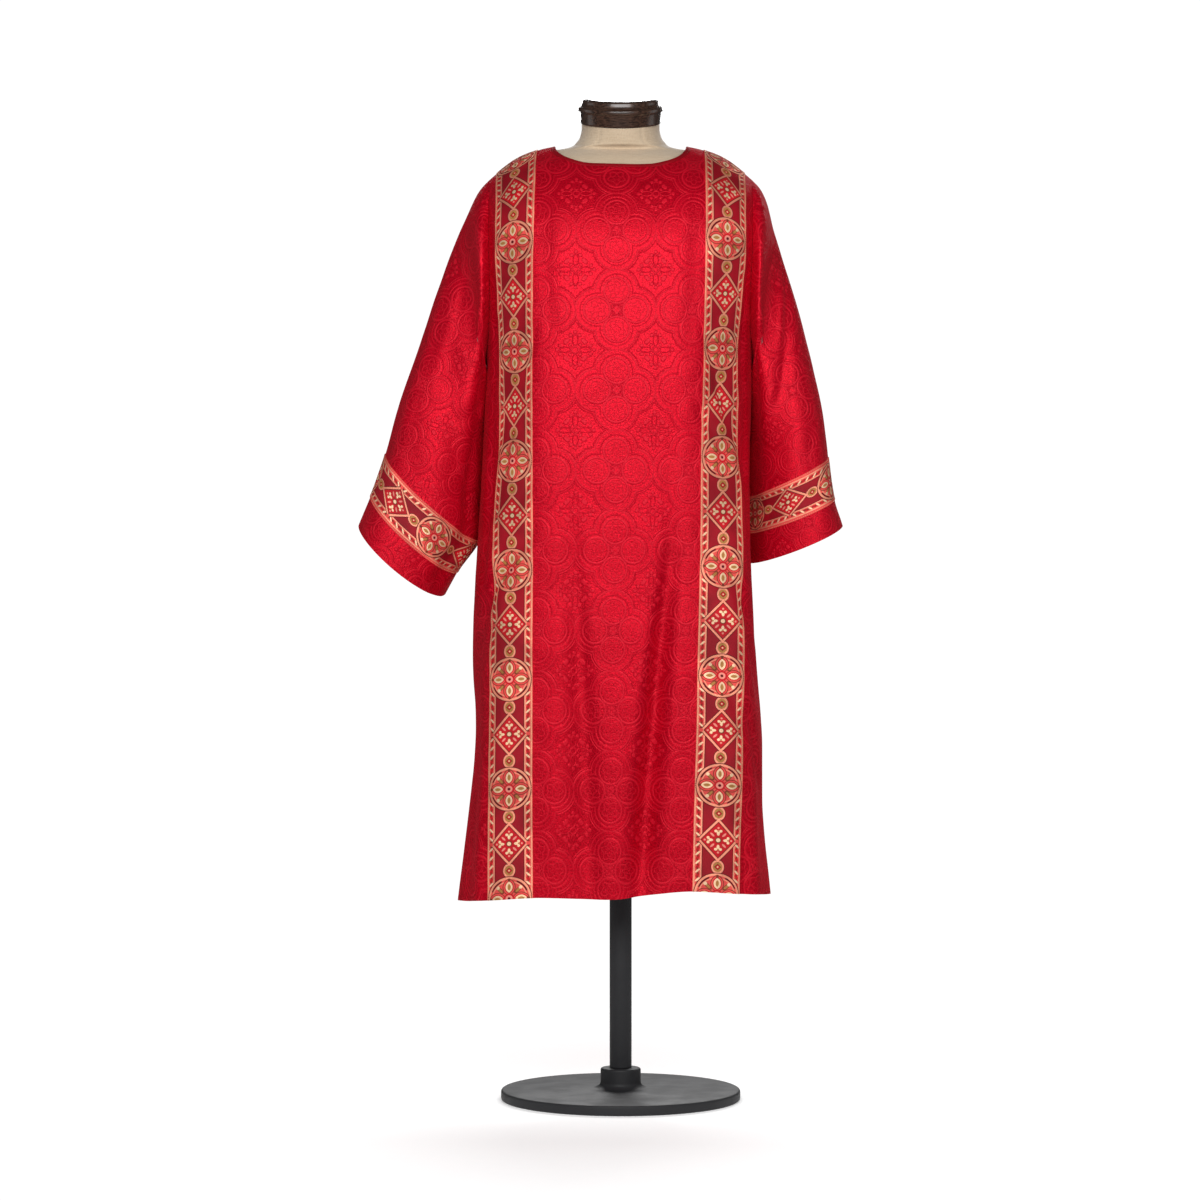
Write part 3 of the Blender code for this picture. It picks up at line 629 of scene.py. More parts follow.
def yoke_line(panel, reach, step):
    """A line round the yoke, from the neck and the shoulder line at step 0 to the chest line at 1, and its
    turns."""
    top = spread(reach, ARMHOLE_TOP)
    top_x = np.sign(top) * through(SHOULDER[:, 0], SHOULDER[:, 1], np.abs(top))
    top_z = through(SHOULDER[:, 0], SHOULDER[:, 2], np.abs(top))
    chest = level_line(panel, spread(reach, ARMHOLE_CHEST), CHEST_Z)
    share = np.minimum(1.0, np.abs(top_x) / NECK_HALF_WIDTH)
    neck = PANELS[panel]["neck"] * (1 - share**NECK_SQUARENESS) ** (1 / NECK_SQUARENESS)
    start = np.arcsin(neck / np.abs(chest[:, 1] - SHOULDER_Y)) * 2 / math.pi
    turn = start + (1 - start) * step
    angle = turn * math.pi / 2
    line = np.stack((
        top_x + (chest[:, 0] - top_x) * (1 - np.cos(angle)),
        SHOULDER_Y + (chest[:, 1] - SHOULDER_Y) * np.sin(angle),
        chest[:, 2] + (top_z - chest[:, 2]) * np.cos(angle),
    ), axis=1)
    return line, turn


def armhole_edge(z):
    """The flat distance of a panel's edge from its middle at height z, at and below the chest line."""
    if z <= UNDERARM_Z:
        return HALF_CLOTH
    rise = (CHEST_Z - z) / (CHEST_Z - UNDERARM_Z)
    return HALF_CLOTH - (HALF_CLOTH - ARMHOLE_CHEST) * math.sqrt(max(0.0, 1 - rise * rise))


YOKE_ROWS = 60
ARMHOLE_ROWS = 42
HALF_REACH = np.concatenate((
    subdivided((0.0, 0.036, 0.067, 0.090, 0.102), STITCH_STEP),
    (0.1038, 0.1050, 0.1058, 0.1064, 0.1068),
    subdivided((NECK_CORNER, BAND_INNER, BAND_OUTER), STITCH_STEP),
    np.linspace(BAND_OUTER, HALF_CLOTH, 26)[1:],
))
REACH = np.concatenate((-HALF_REACH[:0:-1], HALF_REACH))
ROW_HEIGHTS = np.concatenate((
    CHEST_Z - (CHEST_Z - UNDERARM_Z) * np.sin(np.arange(1, ARMHOLE_ROWS + 1) / ARMHOLE_ROWS * math.pi / 2),
    subdivided((UNDERARM_Z, SLIT_TOP_Z, HEM_Z), STITCH_STEP)[1:],
))
UNDERARM_ROW = YOKE_ROWS + ARMHOLE_ROWS


def bare_panel(panel):
    """A panel without its folds: its points, and at each the flat distance across and the height on a level
    hem."""
    points, across, height = [], [], []
    for k in range(YOKE_ROWS + 1):
        line, turn = yoke_line(panel, REACH, k / YOKE_ROWS)
        points.append(line)
        edge = ARMHOLE_TOP + (ARMHOLE_CHEST - ARMHOLE_TOP) * k / YOKE_ROWS
        across.append(spread(REACH, edge))
        height.append(CHEST_Z + YOKE_RISE * (1 - turn))
    for z in ROW_HEIGHTS:
        at = spread(REACH, armhole_edge(z))
        points.append(level_line(panel, at, z))
        across.append(at)
        height.append(np.full(len(REACH), z))
    return np.array(points), np.array(across), np.array(height)


def outward(grid, wrap=False):
    """Outward directions at a grid's points, whose rows run down and whose columns run to the right seen
    from outside."""
    down = np.gradient(grid, axis=0)
    right = (np.roll(grid, -1, 1) - np.roll(grid, 1, 1)) if wrap else np.gradient(grid, axis=1)
    return unit(np.cross(down, right))


def soft_step(value):
    value = np.clip(value, 0.0, 1.0)
    return value * value * (3 - 2 * value)


def fold_depth(folds, across, down):
    """How far the cloth sinks at each point by the folds listed, whose ends fade and whose flanks rise a
    little."""
    total = np.zeros_like(across)
    for *sizes, lean in folds:
        s0, z0, s1, z1, bow, width_0, width_1, depth = (size / 1000 for size in sizes)
        way = np.array((s1 - s0, z1 - z0))
        length = math.hypot(*way)
        way /= length
        along = ((across - s0) * way[0] + (down - z0) * way[1]) / length
        inside = np.clip(along, 0.0, 1.0)
        beside = (across - s0) * way[1] - (down - z0) * way[0] - 4 * bow * inside * (1 - inside)
        width = width_0 + (width_1 - width_0) * inside
        width = width * np.where(beside > 0, 1 + lean, 1 - lean)
        near = beside / width
        fade = soft_step((along + 0.22) / 0.6) * soft_step((1.15 - along) / 0.4)
        flanks = FLANK_RISE * np.exp(-((near / FLANK_REACH) ** 2))
        total += depth * fade * ((1 + FLANK_RISE) * np.exp(-near * near) - flanks)
    return total


def soft_noise(across, down, size, seed):
    """Smooth hills and hollows about size apart, from -1 to 1."""
    lattice = np.random.default_rng(seed).uniform(-1, 1, (LATTICE, LATTICE))
    x = across / size + 31.7
    y = down / size + 17.3
    left = np.floor(x).astype(int)
    low = np.floor(y).astype(int)
    part_x = soft_step(x - left)
    part_y = soft_step(y - low)
    corner = [[lattice[(low + j) % LATTICE, (left + i) % LATTICE] for i in (0, 1)] for j in (0, 1)]
    bottom = corner[0][0] * (1 - part_x) + corner[0][1] * part_x
    top = corner[1][0] * (1 - part_x) + corner[1][1] * part_x
    return bottom * (1 - part_y) + top * part_y


def unevenness(waves, across, down, seed):
    """The depth at each point of hills and hollows of several sizes."""
    return sum(depth * soft_noise(across, down, size, seed + k) for k, (depth, size) in enumerate(waves))


def panel_relief(panel, across, height, seed):
    """All that lies on a panel's bare form: its folds, a slight unevenness, and puckers beside the sewn
    bands."""
    depth = fold_depth(FOLDS[panel], across, height) + unevenness(UNEVEN, across, height, seed)
    apart = np.minimum(np.abs(np.abs(across) - BAND_OUTER), np.abs(np.abs(across) - BAND_INNER))
    puckers = soft_noise(across * 0.35, height, PUCKERS[1], seed + 2) * np.exp(-((apart / 0.014) ** 2))
    depth += PUCKERS[0] * puckers
    under_band = soft_step((0.040 - np.abs(np.abs(across) - (BAND_INNER + BAND_OUTER) / 2)) / 0.008)
    depth *= 1 - UNDER_BAND * under_band
    edge = np.abs(across).max(axis=1, keepdims=True)
    fade = soft_step((edge - np.abs(across)) / SEAM_FADE)
    free = FREE_EDGE * soft_step((SLIT_TOP_Z - height) / 0.09)
    depth *= fade + (1 - fade) * free
    return depth * soft_step((CHEST_Z + 0.235 - height) / YOKE_FADE)


def run_along(points, axis=0):
    """The length run along lines of points, 0 at their starts."""
    steps = np.linalg.norm(np.diff(points, axis=axis), axis=-1)
    return np.concatenate((np.take(steps, [0], axis) * 0.0, np.cumsum(steps, axis=axis)), axis=axis)


def panel_surface(panel, seed):
    """A panel's points with its folds, and its cloth coordinates: across from the middle, and down from the
    chest."""
    points, across, height = bare_panel(panel)
    out = outward(points) * -PANELS[panel]["sign"]
    folded = points - out * panel_relief(panel, across, height, seed)[:, :, None]
    down = run_along(points)
    return folded, np.stack((across, down - down[YOKE_ROWS]), axis=2)


def cloth(name, grid, places, wall, finishes, wrap=False, outside=False):
    """A grid of points as a piece of cloth: an even wall of that thickness, its inner face with the second
    finish. places are the cloth coordinates, with one column more than the grid where it closes on
    itself."""
    mesh = mesh_of(name, grid.reshape(-1, 3), grid_faces(*grid.shape[:2], wrap))
    corners = places.reshape(-1, 2)[grid_faces(*places.shape[:2])]
    layer = mesh.uv_layers.new(name="cloth")
    layer.uv.foreach_set("vector", corners.reshape(-1).astype(np.float32))
    made = shown(name, mesh, *finishes)
    solid = made.modifiers.new("wall", "SOLIDIFY")
    solid.thickness = wall
    solid.offset = 1.0 if outside else -1.0
    solid.material_offset = len(finishes) - 1
    return settled(made, sharp=50)


MEDALLION = 0.124  # the pattern repeats at this size across and down
MIDDLE_MEDALLION = (-0.007, 0.0895)
GROUND_RED = (0.67, 0.0008, 0.0180)
FIGURE_RED = (0.62, 0.0060, 0.0230)
DEEP_RED = (0.36, 0.0003, 0.0080)
REVERSE_RED = (0.26, 0.0020, 0.0090)
SHEEN_RED = (1.0, 0.08, 0.12, 1.0)


def damask():
    """Satin with a matt figure in the same red, between broad ribbons that lie round it: rows of four-lobed
    medallions, each lobe with a small flower, and leafy crosses between them. It is worked out in
    millimetres in one quarter of the repeat. Over all of it lies the pebbly grain of the crepe ground."""
    silk = Finish("red_damask", Roughness=0.5, Specular_IOR_Level=0.13, Sheen_Weight=0.02,
                  Sheen_Roughness=0.5, Sheen_Tint=SHEEN_RED)
    place = silk.cloth_place()
    u, v, _ = silk.parts(place)
    half = MEDALLION * 500
    x = ((u - MIDDLE_MEDALLION[0]) * 1000.0).step("PINGPONG", half)
    y = ((v - MIDDLE_MEDALLION[1]) * 1000.0).step("PINGPONG", half)
    far = x.step("MAXIMUM", y)
    near = x.step("MINIMUM", y)
    folded = silk.vector(far, near)
    lobe = silk.distance(folded, 30.0, 0.0)
    middle = silk.distance(folded, 0.0, 0.0)
    corner_far = (near - half) * -1.0
    corner_near = (far - half) * -1.0
    corner = silk.vector(corner_far, corner_near)
    turn = near.step("ARCTAN2", far - 31.0)
    petals = (turn * 5.0).step("COSINE") * 2.2 + 12.2
    star = (turn * 5.0).step("COSINE") * -1.6 + 5.4
    bloom = (near.step("ARCTAN2", far) * 8.0).step("COSINE") * 1.8 + 9.6
    leaf = silk.distance(silk.stretched(corner, 1.0, 2.1), 15.0, 0.0)
    lines = largest(
        lobe.line(19.6, 1.5, 1.3),
        lobe.line(25.6, 0.6, 0.9),
        lobe.line(32.6, 1.1, 1.2),
        lobe.line(36.4, 0.5, 0.9),
        (middle - bloom).line(0.0, 1.0, 1.0),
        (lobe - petals).line(0.0, 0.9, 1.0),
        (lobe - star).line(0.0, 0.7, 0.9),
        silk.distance(folded, 4.6, 0.0).span(3.2, 1.6),
        leaf.line(8.6, 0.9, 1.0),
        silk.distance(corner, 27.5, 0.0).span(3.6, 1.6),
        silk.distance(corner, 22.5, 6.6).span(3.6, 1.6),
        silk.distance(corner, 14.5, 12.0).span(4.2, 2.2),
        silk.distance(corner, 8.0, 7.0).span(2.6, 1.2),
        silk.distance(corner, 0.0, 0.0).line(4.8, 1.0, 1.0),
    )
    ribbon = lobe.span(25.0, 27.0) * lobe.span(32.8, 31.0)
    raised = (lobe.span(19.0, 16.0) * 0.5 + ribbon * 0.6).step("MAXIMUM", lines * 0.85)
    pebbles = silk.noise(place, 360.0, 2.0, 0.7)
    grain = silk.noise(place, 1500.0, 1.0)
    cloud = silk.noise(place, 14.0, 2.0)
    light = pebbles.span(0.36, 0.62) * 0.72 + cloud.span(0.3, 0.7) * 0.16
    ground = silk.mixed(light + ribbon * 0.06, DEEP_RED, GROUND_RED)
    silk.colour(silk.mixed(lines * 0.7, ground, FIGURE_RED))
    rim = silk.edge_on()
    silk.drive("Metallic", (lines * -0.26 + 0.42) * (rim * -0.9 + 1.0))
    silk.drive("Roughness", lines * 0.06 + ribbon * 0.02 + (grain - 0.5) * 0.12 + rim * 0.5 + 0.40)
    silk.relief(pebbles * 1.1 + raised * 0.85 + grain * 0.12, 0.00075)
    return silk.material


def reverse():
    """The backing that shows inside the hems: plain and matt."""
    back = Finish("red_backing", Roughness=0.8, Sheen_Weight=0.3)
    place = back.cloth_place()
    x, y, _ = back.parts(place)
    weave = (x * 4200.0).step("SINE") * (y * 4200.0).step("SINE")
    cloud = back.noise(place, 40.0, 3.0)
    back.colour(back.mixed(cloud.span(0.3, 0.7), DEEP_RED, REVERSE_RED))
    back.relief(weave, 0.00015)
    return back.material


brocade = (damask(), reverse())
surface = {}
for panel, seed, columns_way in (("front", 11, 1), ("back", 23, -1)):
    points, places = panel_surface(panel, seed)
    surface[panel] = (points, places)
    apart = points.copy()
    on_shoulder = np.abs(REACH) >= NECK_CORNER - 1e-9
    apart[0, on_shoulder, 1] += PANELS[panel]["sign"] * SEAM / 2
    apart[UNDERARM_ROW:, [0, -1], 1] += PANELS[panel]["sign"] * SEAM / 2
    piece = cloth(f"{panel}_damask", apart[:, ::columns_way], places[:, ::columns_way], WALL, brocade)
    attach(piece, "root")
    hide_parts(f"{panel}_panel")


# ---------------------------------------------------------------- sleeves
# One piece of the same damask each, folded along the top and closed by the seam below, sewn into the
# armhole. They are wide at the top and narrower at the open hem, and hang empty beside the body in long
# soft folds.

# Rings from the armhole down, in millimetres but for the last number; the last three rings are the band's
# upper edge, its lower edge and the hem.
SLEEVES = {
    # top x, y, z, under x, y, z, half depth, dip of the front edge, inward fullness
    "right": (
        (-249, 6, 1392, -211, 34, 1130, 88, 2, 0.34),
        (-290, 4, 1286, -212, 42, 1075, 92, 4, 0.3),
        (-323.5, 2, 1182, -214.5, 46, 1010, 95, 7, 0.18),
        (-349, 0, 1110, -220.5, 46, 950, 96, 10, 0.1),
        (-372.6, 0, 1025.1, -226.2, 42, 889, 95, 14, 0.06),
        (-394.8, 0, 960, -262, 25, 836.3, 96, 17, 0),
        (-413.1, 0, 914.7, -281.2, 20, 800.3, 98, 19, 0),
    ),
    "left": (
        (244.7, 6, 1374, 207, 34, 1135, 89, 2, 0.34),
        (277.1, 4, 1268, 204, 47, 1095, 96, 3, 0.3),
        (305, 2, 1158, 202.2, 56, 1045, 100, 5, 0.18),
        (318.3, 0, 1097.7, 201, 61, 1005, 101, 7, 0.1),
        (329, 0, 1019.5, 200, 63, 958.5, 101, 9, 0.05),
        (339.5, 0, 953.5, 199.2, 63, 900, 99, 11, 0),
        (352, 0, 911.9, 199.5, 60, 853, 98, 12, 0),
    ),
}
SEAM_EASE = 0.00012  # the sleeve's edge lies this much further out than the seam's gap
SLEEVE_STEP = 0.00432  # the mesh's own rows
SLEEVE_SQUARENESS = 0.76
SLEEVE_UNEVEN = ((0.0008, 0.085), (0.0003, 0.03))
SEAM_STRIP = 0.0012
SEAM_COLLAR = 0.014
SLEEVE_LENGTH = 0.60
SLEEVE_GIRTH = {"right": (0.754, 0.60), "left": (0.754, 0.53)}

# Folds of the sleeves, as those of the front and back, but from and to degrees round from the top, positive
# to the front, and millimetres down from the armhole.
SLEEVE_FOLDS = {
    "right": (
        (120, 0, 116, 300, 0, 24, 34, -8.5, 0),
        (148, 30, 148, 200, 0, 16, 20, -4, 0),
        (70, 60, 78, 330, 4, 24, 35, 2.5, 0.2),
        (92, 280, 104, 560, 0, 32, 43, -2.5, 0),
        (46, 140, 60, 520, 6, 24, 35, 2.2, 0.2),
        (136, 280, 148, 600, 4, 16, 24, 6.6, 0),
        (150, 150, 100, 300, 6, 10, 14, 2.6, 0),
        (-92, 30, -104, 330, -4, 14, 22, 7.5, -0.2),
        (-118, 10, -122, 320, 0, 16, 22, -6, 0),
        (-60, 100, -72, 520, -6, 16, 26, 5.6, 0),
        (-84, 340, -92, 600, 0, 18, 26, -4, 0),
        (-140, 260, -150, 600, 0, 14, 22, 6.2, 0),
        (-154, 120, -98, 270, 5, 9, 13, 4, 0),
        (20, 200, 26, 560, 0, 24, 32, 1.7, 0),
        (-22, 140, -28, 480, 0, 16, 22, 3, 0),
    ),
    "left": (
        (122, 0, 112, 330, 0, 22, 34, -8.5, 0),
        (148, 30, 148, 190, 0, 16, 20, -4, 0),
        (30, 150, 116, 330, 10, 19, 30, 4.2, -0.2),
        (68, 50, 74, 200, 4, 24, 32, 2, 0),
        (80, 330, 96, 560, 0, 30, 41, -2.2, 0),
        (142, 250, 150, 580, 0, 19, 30, 4, 0),
        (50, 360, 62, 560, 4, 22, 30, 1.9, 0),
        (-90, 30, -104, 320, 0, 14, 22, 7, 0),
        (-118, 10, -124, 290, 0, 16, 21, -5.6, 0),
        (-58, 110, -72, 460, -5, 18, 26, 5.4, 0),
        (-86, 320, -94, 590, 0, 18, 26, -3.8, 0),
        (-138, 260, -150, 570, 0, 14, 20, 6, 0),
        (-158, 120, -100, 250, 5, 9, 13, 4, 0),
        (24, 260, 18, 560, 0, 24, 32, 1.6, 0),
        (-20, 130, -26, 450, 0, 16, 22, 3, 0),
    ),
}


def armhole_loop(side):
    """The armhole's points, from the underarm up the front to the shoulder and down the back."""
    edge = 0 if side < 0 else -1
    front = surface["front"][0][: UNDERARM_ROW + 1, edge]
    back = surface["back"][0][1:UNDERARM_ROW, edge]
    return np.concatenate((front[::-1], back))


def loop_angles(loop):
    """The angle round the sleeve of each of the loop's points, from 180 at the underarm over 0 on top, in
    radians."""
    run = run_along(np.concatenate((loop, loop[:1])))
    top = run[UNDERARM_ROW]
    turns = np.where(run <= top, run / top, 1 + (run - top) / (run[-1] - top))
    return math.pi * (1 - turns[:-1])


def sleeve_ring(row, angles):
    """One ring of a sleeve: an oval between its top and under lines, fuller towards the body, its front
    edge lower."""
    *sizes, inward = row
    top, under, (half_depth, dip) = np.split(np.array(sizes) / 1000, (3, 6))
    half = (top - under) / 2
    along = np.array((half[2], 0.0, -half[0])) / math.hypot(half[0], half[2])
    if along[2] > 0:
        along = -along
    deep = np.sign(np.sin(angles)) * np.abs(np.sin(angles)) ** SLEEVE_SQUARENESS
    deep *= 1 - inward * np.cos(angles)
    points = (top + under) / 2 + np.outer(np.cos(angles), half) + np.outer(np.sin(angles), along) * dip
    points[:, 1] -= half_depth * deep
    return points


def seam_directions(angles, side):
    """The way the sleeve leaves the armhole seam: out and down on top, out and forward or back
    elsewhere."""
    on_top = np.maximum(0.0, np.cos(angles))
    below = np.maximum(0.0, -np.cos(angles)) ** 2
    down = -(0.18 + 0.54 * on_top) - 0.55 * np.maximum(0.0, -np.cos(angles))
    ways = np.stack((side * (0.45 + 0.25 * on_top - 0.30 * below), -0.8 * np.sin(angles), down), axis=1)
    return unit(ways)


def laid_flat(grid):
    """Where each point of a closed sleeve lies when the sleeve is cut open along its seam and pressed flat:
    metres across from the top line and down, with one column more than the grid."""
    opened = np.concatenate((grid, grid[:, :1]), axis=1)
    faces = grid_faces(*opened.shape[:2])
    mesh = mesh_of("pattern_piece", opened.reshape(-1, 3), faces)
    mesh.uv_layers.new(name="flat")
    piece = linked("pattern_piece", mesh)
    bpy.context.view_layer.objects.active = piece
    bpy.ops.object.mode_set(mode="EDIT")
    bpy.ops.mesh.select_all(action="SELECT")
    bpy.ops.uv.unwrap(method="CONFORMAL", margin=0.0)
    bpy.ops.object.mode_set(mode="OBJECT")
    corners = np.empty(len(faces) * 8, dtype=np.float32)
    mesh.uv_layers[0].uv.foreach_get("vector", corners)
    flat = np.empty((*opened.shape[:2], 2))
    flat.reshape(-1, 2)[faces.ravel()] = corners.reshape(-1, 2)
    bpy.data.objects.remove(piece)
    bpy.data.meshes.remove(mesh)
    top = opened.shape[1] // 2
    flat -= flat[0, top]
    way = flat[-1, top] / (flat[-1, top] @ flat[-1, top]) * run_along(opened[:, top])[-1]
    across = flat[..., 0] * way[1] - flat[..., 1] * way[0]
    down = flat @ way
    return np.stack((across * np.sign(across[-1, -1] - across[-1, 0]), down), axis=2)


def sleeve_surface(hand, side, seed):
    """A sleeve's points with its folds, its cloth coordinates, and the numbers of the band's two edge
    rows."""
    loop = armhole_loop(side)
    angles = loop_angles(loop)
    ways = seam_directions(angles, side)
    seam = loop + ways * SEAM + np.array((side * SEAM_EASE, 0.0, 0.0))
    rings = [seam, seam + ways * SEAM_STRIP, seam + ways * SEAM_COLLAR]
    rings = np.array(rings + [sleeve_ring(row, angles) for row in SLEEVES[hand]])
    knots = run_along(rings.mean(axis=1))
    at = subdivided(knots, SLEEVE_STEP)
    grid = through(knots, rings, at)
    upper, lower = (int(np.argmin(np.abs(at - knots[k]))) for k in (-3, -2))
    down = at / at[-1] * SLEEVE_LENGTH
    girth = np.interp(down, (0.0, SLEEVE_LENGTH), SLEEVE_GIRTH[hand])
    degrees = np.degrees(angles)
    around = np.outer(girth, degrees / 360)
    rows = np.repeat(down[:, None], len(angles), axis=1)
    mean_girth = sum(SLEEVE_GIRTH[hand]) / 2
    level = np.broadcast_to(degrees / 360 * mean_girth, rows.shape)
    apart = mean_girth * 1000 / 360
    folds = [(a0 * apart, d0, a1 * apart, *sizes) for a0, d0, a1, *sizes in SLEEVE_FOLDS[hand]]
    depth = fold_depth(folds, level, rows) + unevenness(SLEEVE_UNEVEN, around, rows, seed)
    depth *= soft_step((down - 0.012) / 0.04)[:, None] * soft_step((180 - np.abs(degrees)) / 14)[None, :]
    grid = grid - outward(grid, wrap=True) * side * depth[:, :, None]
    run = run_along(np.concatenate((grid, grid[:, :1]), axis=1), axis=1)
    run -= run[:, -1:] / 2
    places = np.stack((run, np.repeat(down[:, None], run.shape[1], axis=1)), axis=2)
    return grid, places, upper, lower


sleeve = {}
for hand, side, seed in (("right", -1.0, 41), ("left", 1.0, 57)):
    points, places, upper, lower = sleeve_surface(hand, side, seed)
    if side < 0:
        points = np.roll(points[:, ::-1], 1, axis=1)
        places = places[:, ::-1]
    sleeve[hand] = (points, places, upper, lower)
    piece = cloth(f"{hand}_sleeve", points, laid_flat(points), WALL, brocade, wrap=True)
    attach(piece, "root")
    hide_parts(f"sleeve_{hand}")


# ---------------------------------------------------------------- orphreys
# Two lengths of red and gold galloon, 72 mm wide and woven with a border along each edge. Each is sewn flat
# onto the damask from the front hem over the shoulder to the back hem.

GALLOON_WALL = 0.0009
LIFT = 0.00035
REPEAT = 0.170  # along the band, from one roundel to the next
STITCH_INSET = 0.0016
BAND_FIELD = (0.350, 0.002, 0.012)
BAND_RED = (0.600, 0.006, 0.014)
BAND_GOLD = (0.990, 0.350, 0.220)
BAND_PALE_GOLD = (1.000, 0.660, 0.410)
BAND_SALMON = (0.860, 0.085, 0.075)
BAND_OLIVE = (0.480, 0.210, 0.060)
BAND_BROWN = (0.190, 0.030, 0.010)
BAND_DARK = (0.120, 0.002, 0.003)
BAND_PINK = (0.930, 0.300, 0.230)


def galloon():
    """Gold and coloured silk woven on a dark red field: along the middle, in turn, a roundel with four
    leaves, a pointed loop, a diamond with four flowers and another loop; and along both edges a border of
    slanted leaves."""
    band = Finish("gold_galloon", Roughness=0.5, Specular_IOR_Level=0.2)
    place = band.cloth_place()
    u, v, _ = band.parts(place)
    half = REPEAT * 500
    across = (u * 1000.0).step("ABSOLUTE")
    along = (v * 1000.0).step("PINGPONG", half)
    back = (along - half) * -1.0
    flat = band.vector(across, along)

    # Each figure is a list of its shapes from the lowest up: where it is, its colour and its share of metal.
    beside = across - 28.6
    leaf_way = (back - beside * 0.7 - 7.8).step("PINGPONG", 6.8)
    leaf = band.vector(beside, leaf_way)
    border = [
        (across.span(22.0, 22.8), BAND_SALMON, 0.3),
        (band.spot(leaf, 0.0, 6.8, 3.4, 2.4), BAND_RED, 0.0),
        (band.spot(band.vector(beside * 0.5, leaf_way), 0.0, 0.0, 2.2, 1.5), BAND_PALE_GOLD, 1.0),
        (band.spot(leaf, 0.0, 3.7, 1.9, 1.0), BAND_BROWN, 0.0),
        (across.line(23.9, 1.15, 0.35), BAND_GOLD, 1.0),
        (across.line(34.0, 1.3, 0.35), BAND_GOLD, 1.0),
        (across.line(22.1, 0.5, 0.3), BAND_DARK, 0.0),
    ]

    loop = band.distance(band.stretched(flat, 1.2, 1.0), 0.0, 43.4)
    heart = across + (along - 43.4).step("ABSOLUTE")
    loops = [
        (loop.span(12.2, 11.5), BAND_DARK, 0.0),
        (loop.span(11.2, 10.5), BAND_GOLD, 1.0),
        (loop.span(8.2, 7.5), BAND_OLIVE, 0.3),
        (heart.span(5.4, 4.8), BAND_BROWN, 0.0),
        (heart.span(4.0, 3.4), BAND_RED, 0.0),
        (heart.span(1.8, 1.2), BAND_PALE_GOLD, 0.8),
    ]

    frame_line = (across * (1 / 27.7) + back * (1 / 31.5) - 1.0) * 20.8
    folded = band.vector(across.step("MAXIMUM", back), across.step("MINIMUM", back))
    bud = band.stretched(band.vector(across + back, across - back), 0.4, 1.0)
    centre = band.distance(folded, 0.0, 0.0)
    diamond = [
        (frame_line.span(2.8, 2.1), BAND_DARK, 0.0),
        (frame_line.span(1.7, 1.1), BAND_GOLD, 1.0),
        (frame_line.span(-1.5, -2.1), BAND_DARK, 0.0),
        (frame_line.span(-2.5, -3.3), BAND_RED, 0.0),
        (band.spot(band.stretched(folded, 0.52, 1.0), 5.9, 0.0, 2.5, 1.9), BAND_PALE_GOLD, 1.0),
        (band.spot(folded, 14.2, 3.5, 2.5, 1.8), BAND_PALE_GOLD, 0.9),
        (band.spot(folded, 14.2, 0.0, 1.6, 0.9), BAND_OLIVE, 0.3),
        (band.spot(folded, 19.0, 0.0, 1.9, 1.2), BAND_PINK, 0.5),
        (band.spot(bud, 6.7, 0.0, 2.5, 1.8), BAND_PINK, 0.4),
        (centre.span(4.8, 4.1), BAND_BROWN, 0.0),
        (centre.span(3.4, 2.7), BAND_PALE_GOLD, 0.8),
        (band.spot(flat, 0.0, half - 31.8, 2.6, 1.9), BAND_GOLD, 1.0),
        (band.spot(flat, 28.8, half, 3.6, 2.9), BAND_SALMON, 0.8),
        (band.spot(flat, 29.0, half - 4.1, 1.9, 1.1), BAND_BROWN, 0.0),
    ]

    wheel = band.distance(flat, 0.0, 0.0)
    far = across.step("MAXIMUM", along)
    near = across.step("MINIMUM", along)
    quarter = band.vector(far, near)
    slanted = band.vector(far + near, far - near)
    blade = band.stretched(slanted, 0.28, 0.71)
    vane = band.distance(quarter, 17.8, -4.6) - 10.0
    roundel = [
        (wheel.span(35.0, 34.2), BAND_DARK, 0.0),
        (wheel.span(33.7, 33.0), BAND_GOLD, 1.0),
        (wheel.span(30.2, 29.5), BAND_SALMON, 0.2),
        (wheel.line(28.7, 1.3, 0.5) * near.span(10.2, 12.2), BAND_DARK, 0.0),
        (wheel.line(26.2, 0.8, 0.4), BAND_GOLD, 0.8),
        (band.spot(blade, 7.4, 0.0, 3.2, 2.6), BAND_BROWN, 0.0),
        (band.spot(blade, 7.4, 0.0, 2.3, 1.7), BAND_OLIVE, 0.4),
        (band.spot(slanted, 34.0, 0.0, 4.6, 3.0), BAND_PALE_GOLD, 1.0),
        (vane.span(4.6, 4.0), BAND_BROWN, 0.0),
        (vane.span(3.5, 2.9), BAND_SALMON, 0.5),
        (vane.span(1.4, 0.8), BAND_RED, 0.0),
        (vane.span(0.1, -0.5), BAND_PALE_GOLD, 1.0),
        (vane.span(-2.6, -3.4), BAND_OLIVE, 0.4),
        (band.spot(quarter, 28.2, 0.0, 2.3, 1.5), BAND_BROWN, 0.0),
        (wheel.span(8.4, 7.4), BAND_RED, 0.0),
        (wheel.span(5.6, 4.8), BAND_PINK, 0.6),
        (wheel.span(2.6, 1.9), BAND_DARK, 0.0),
    ]

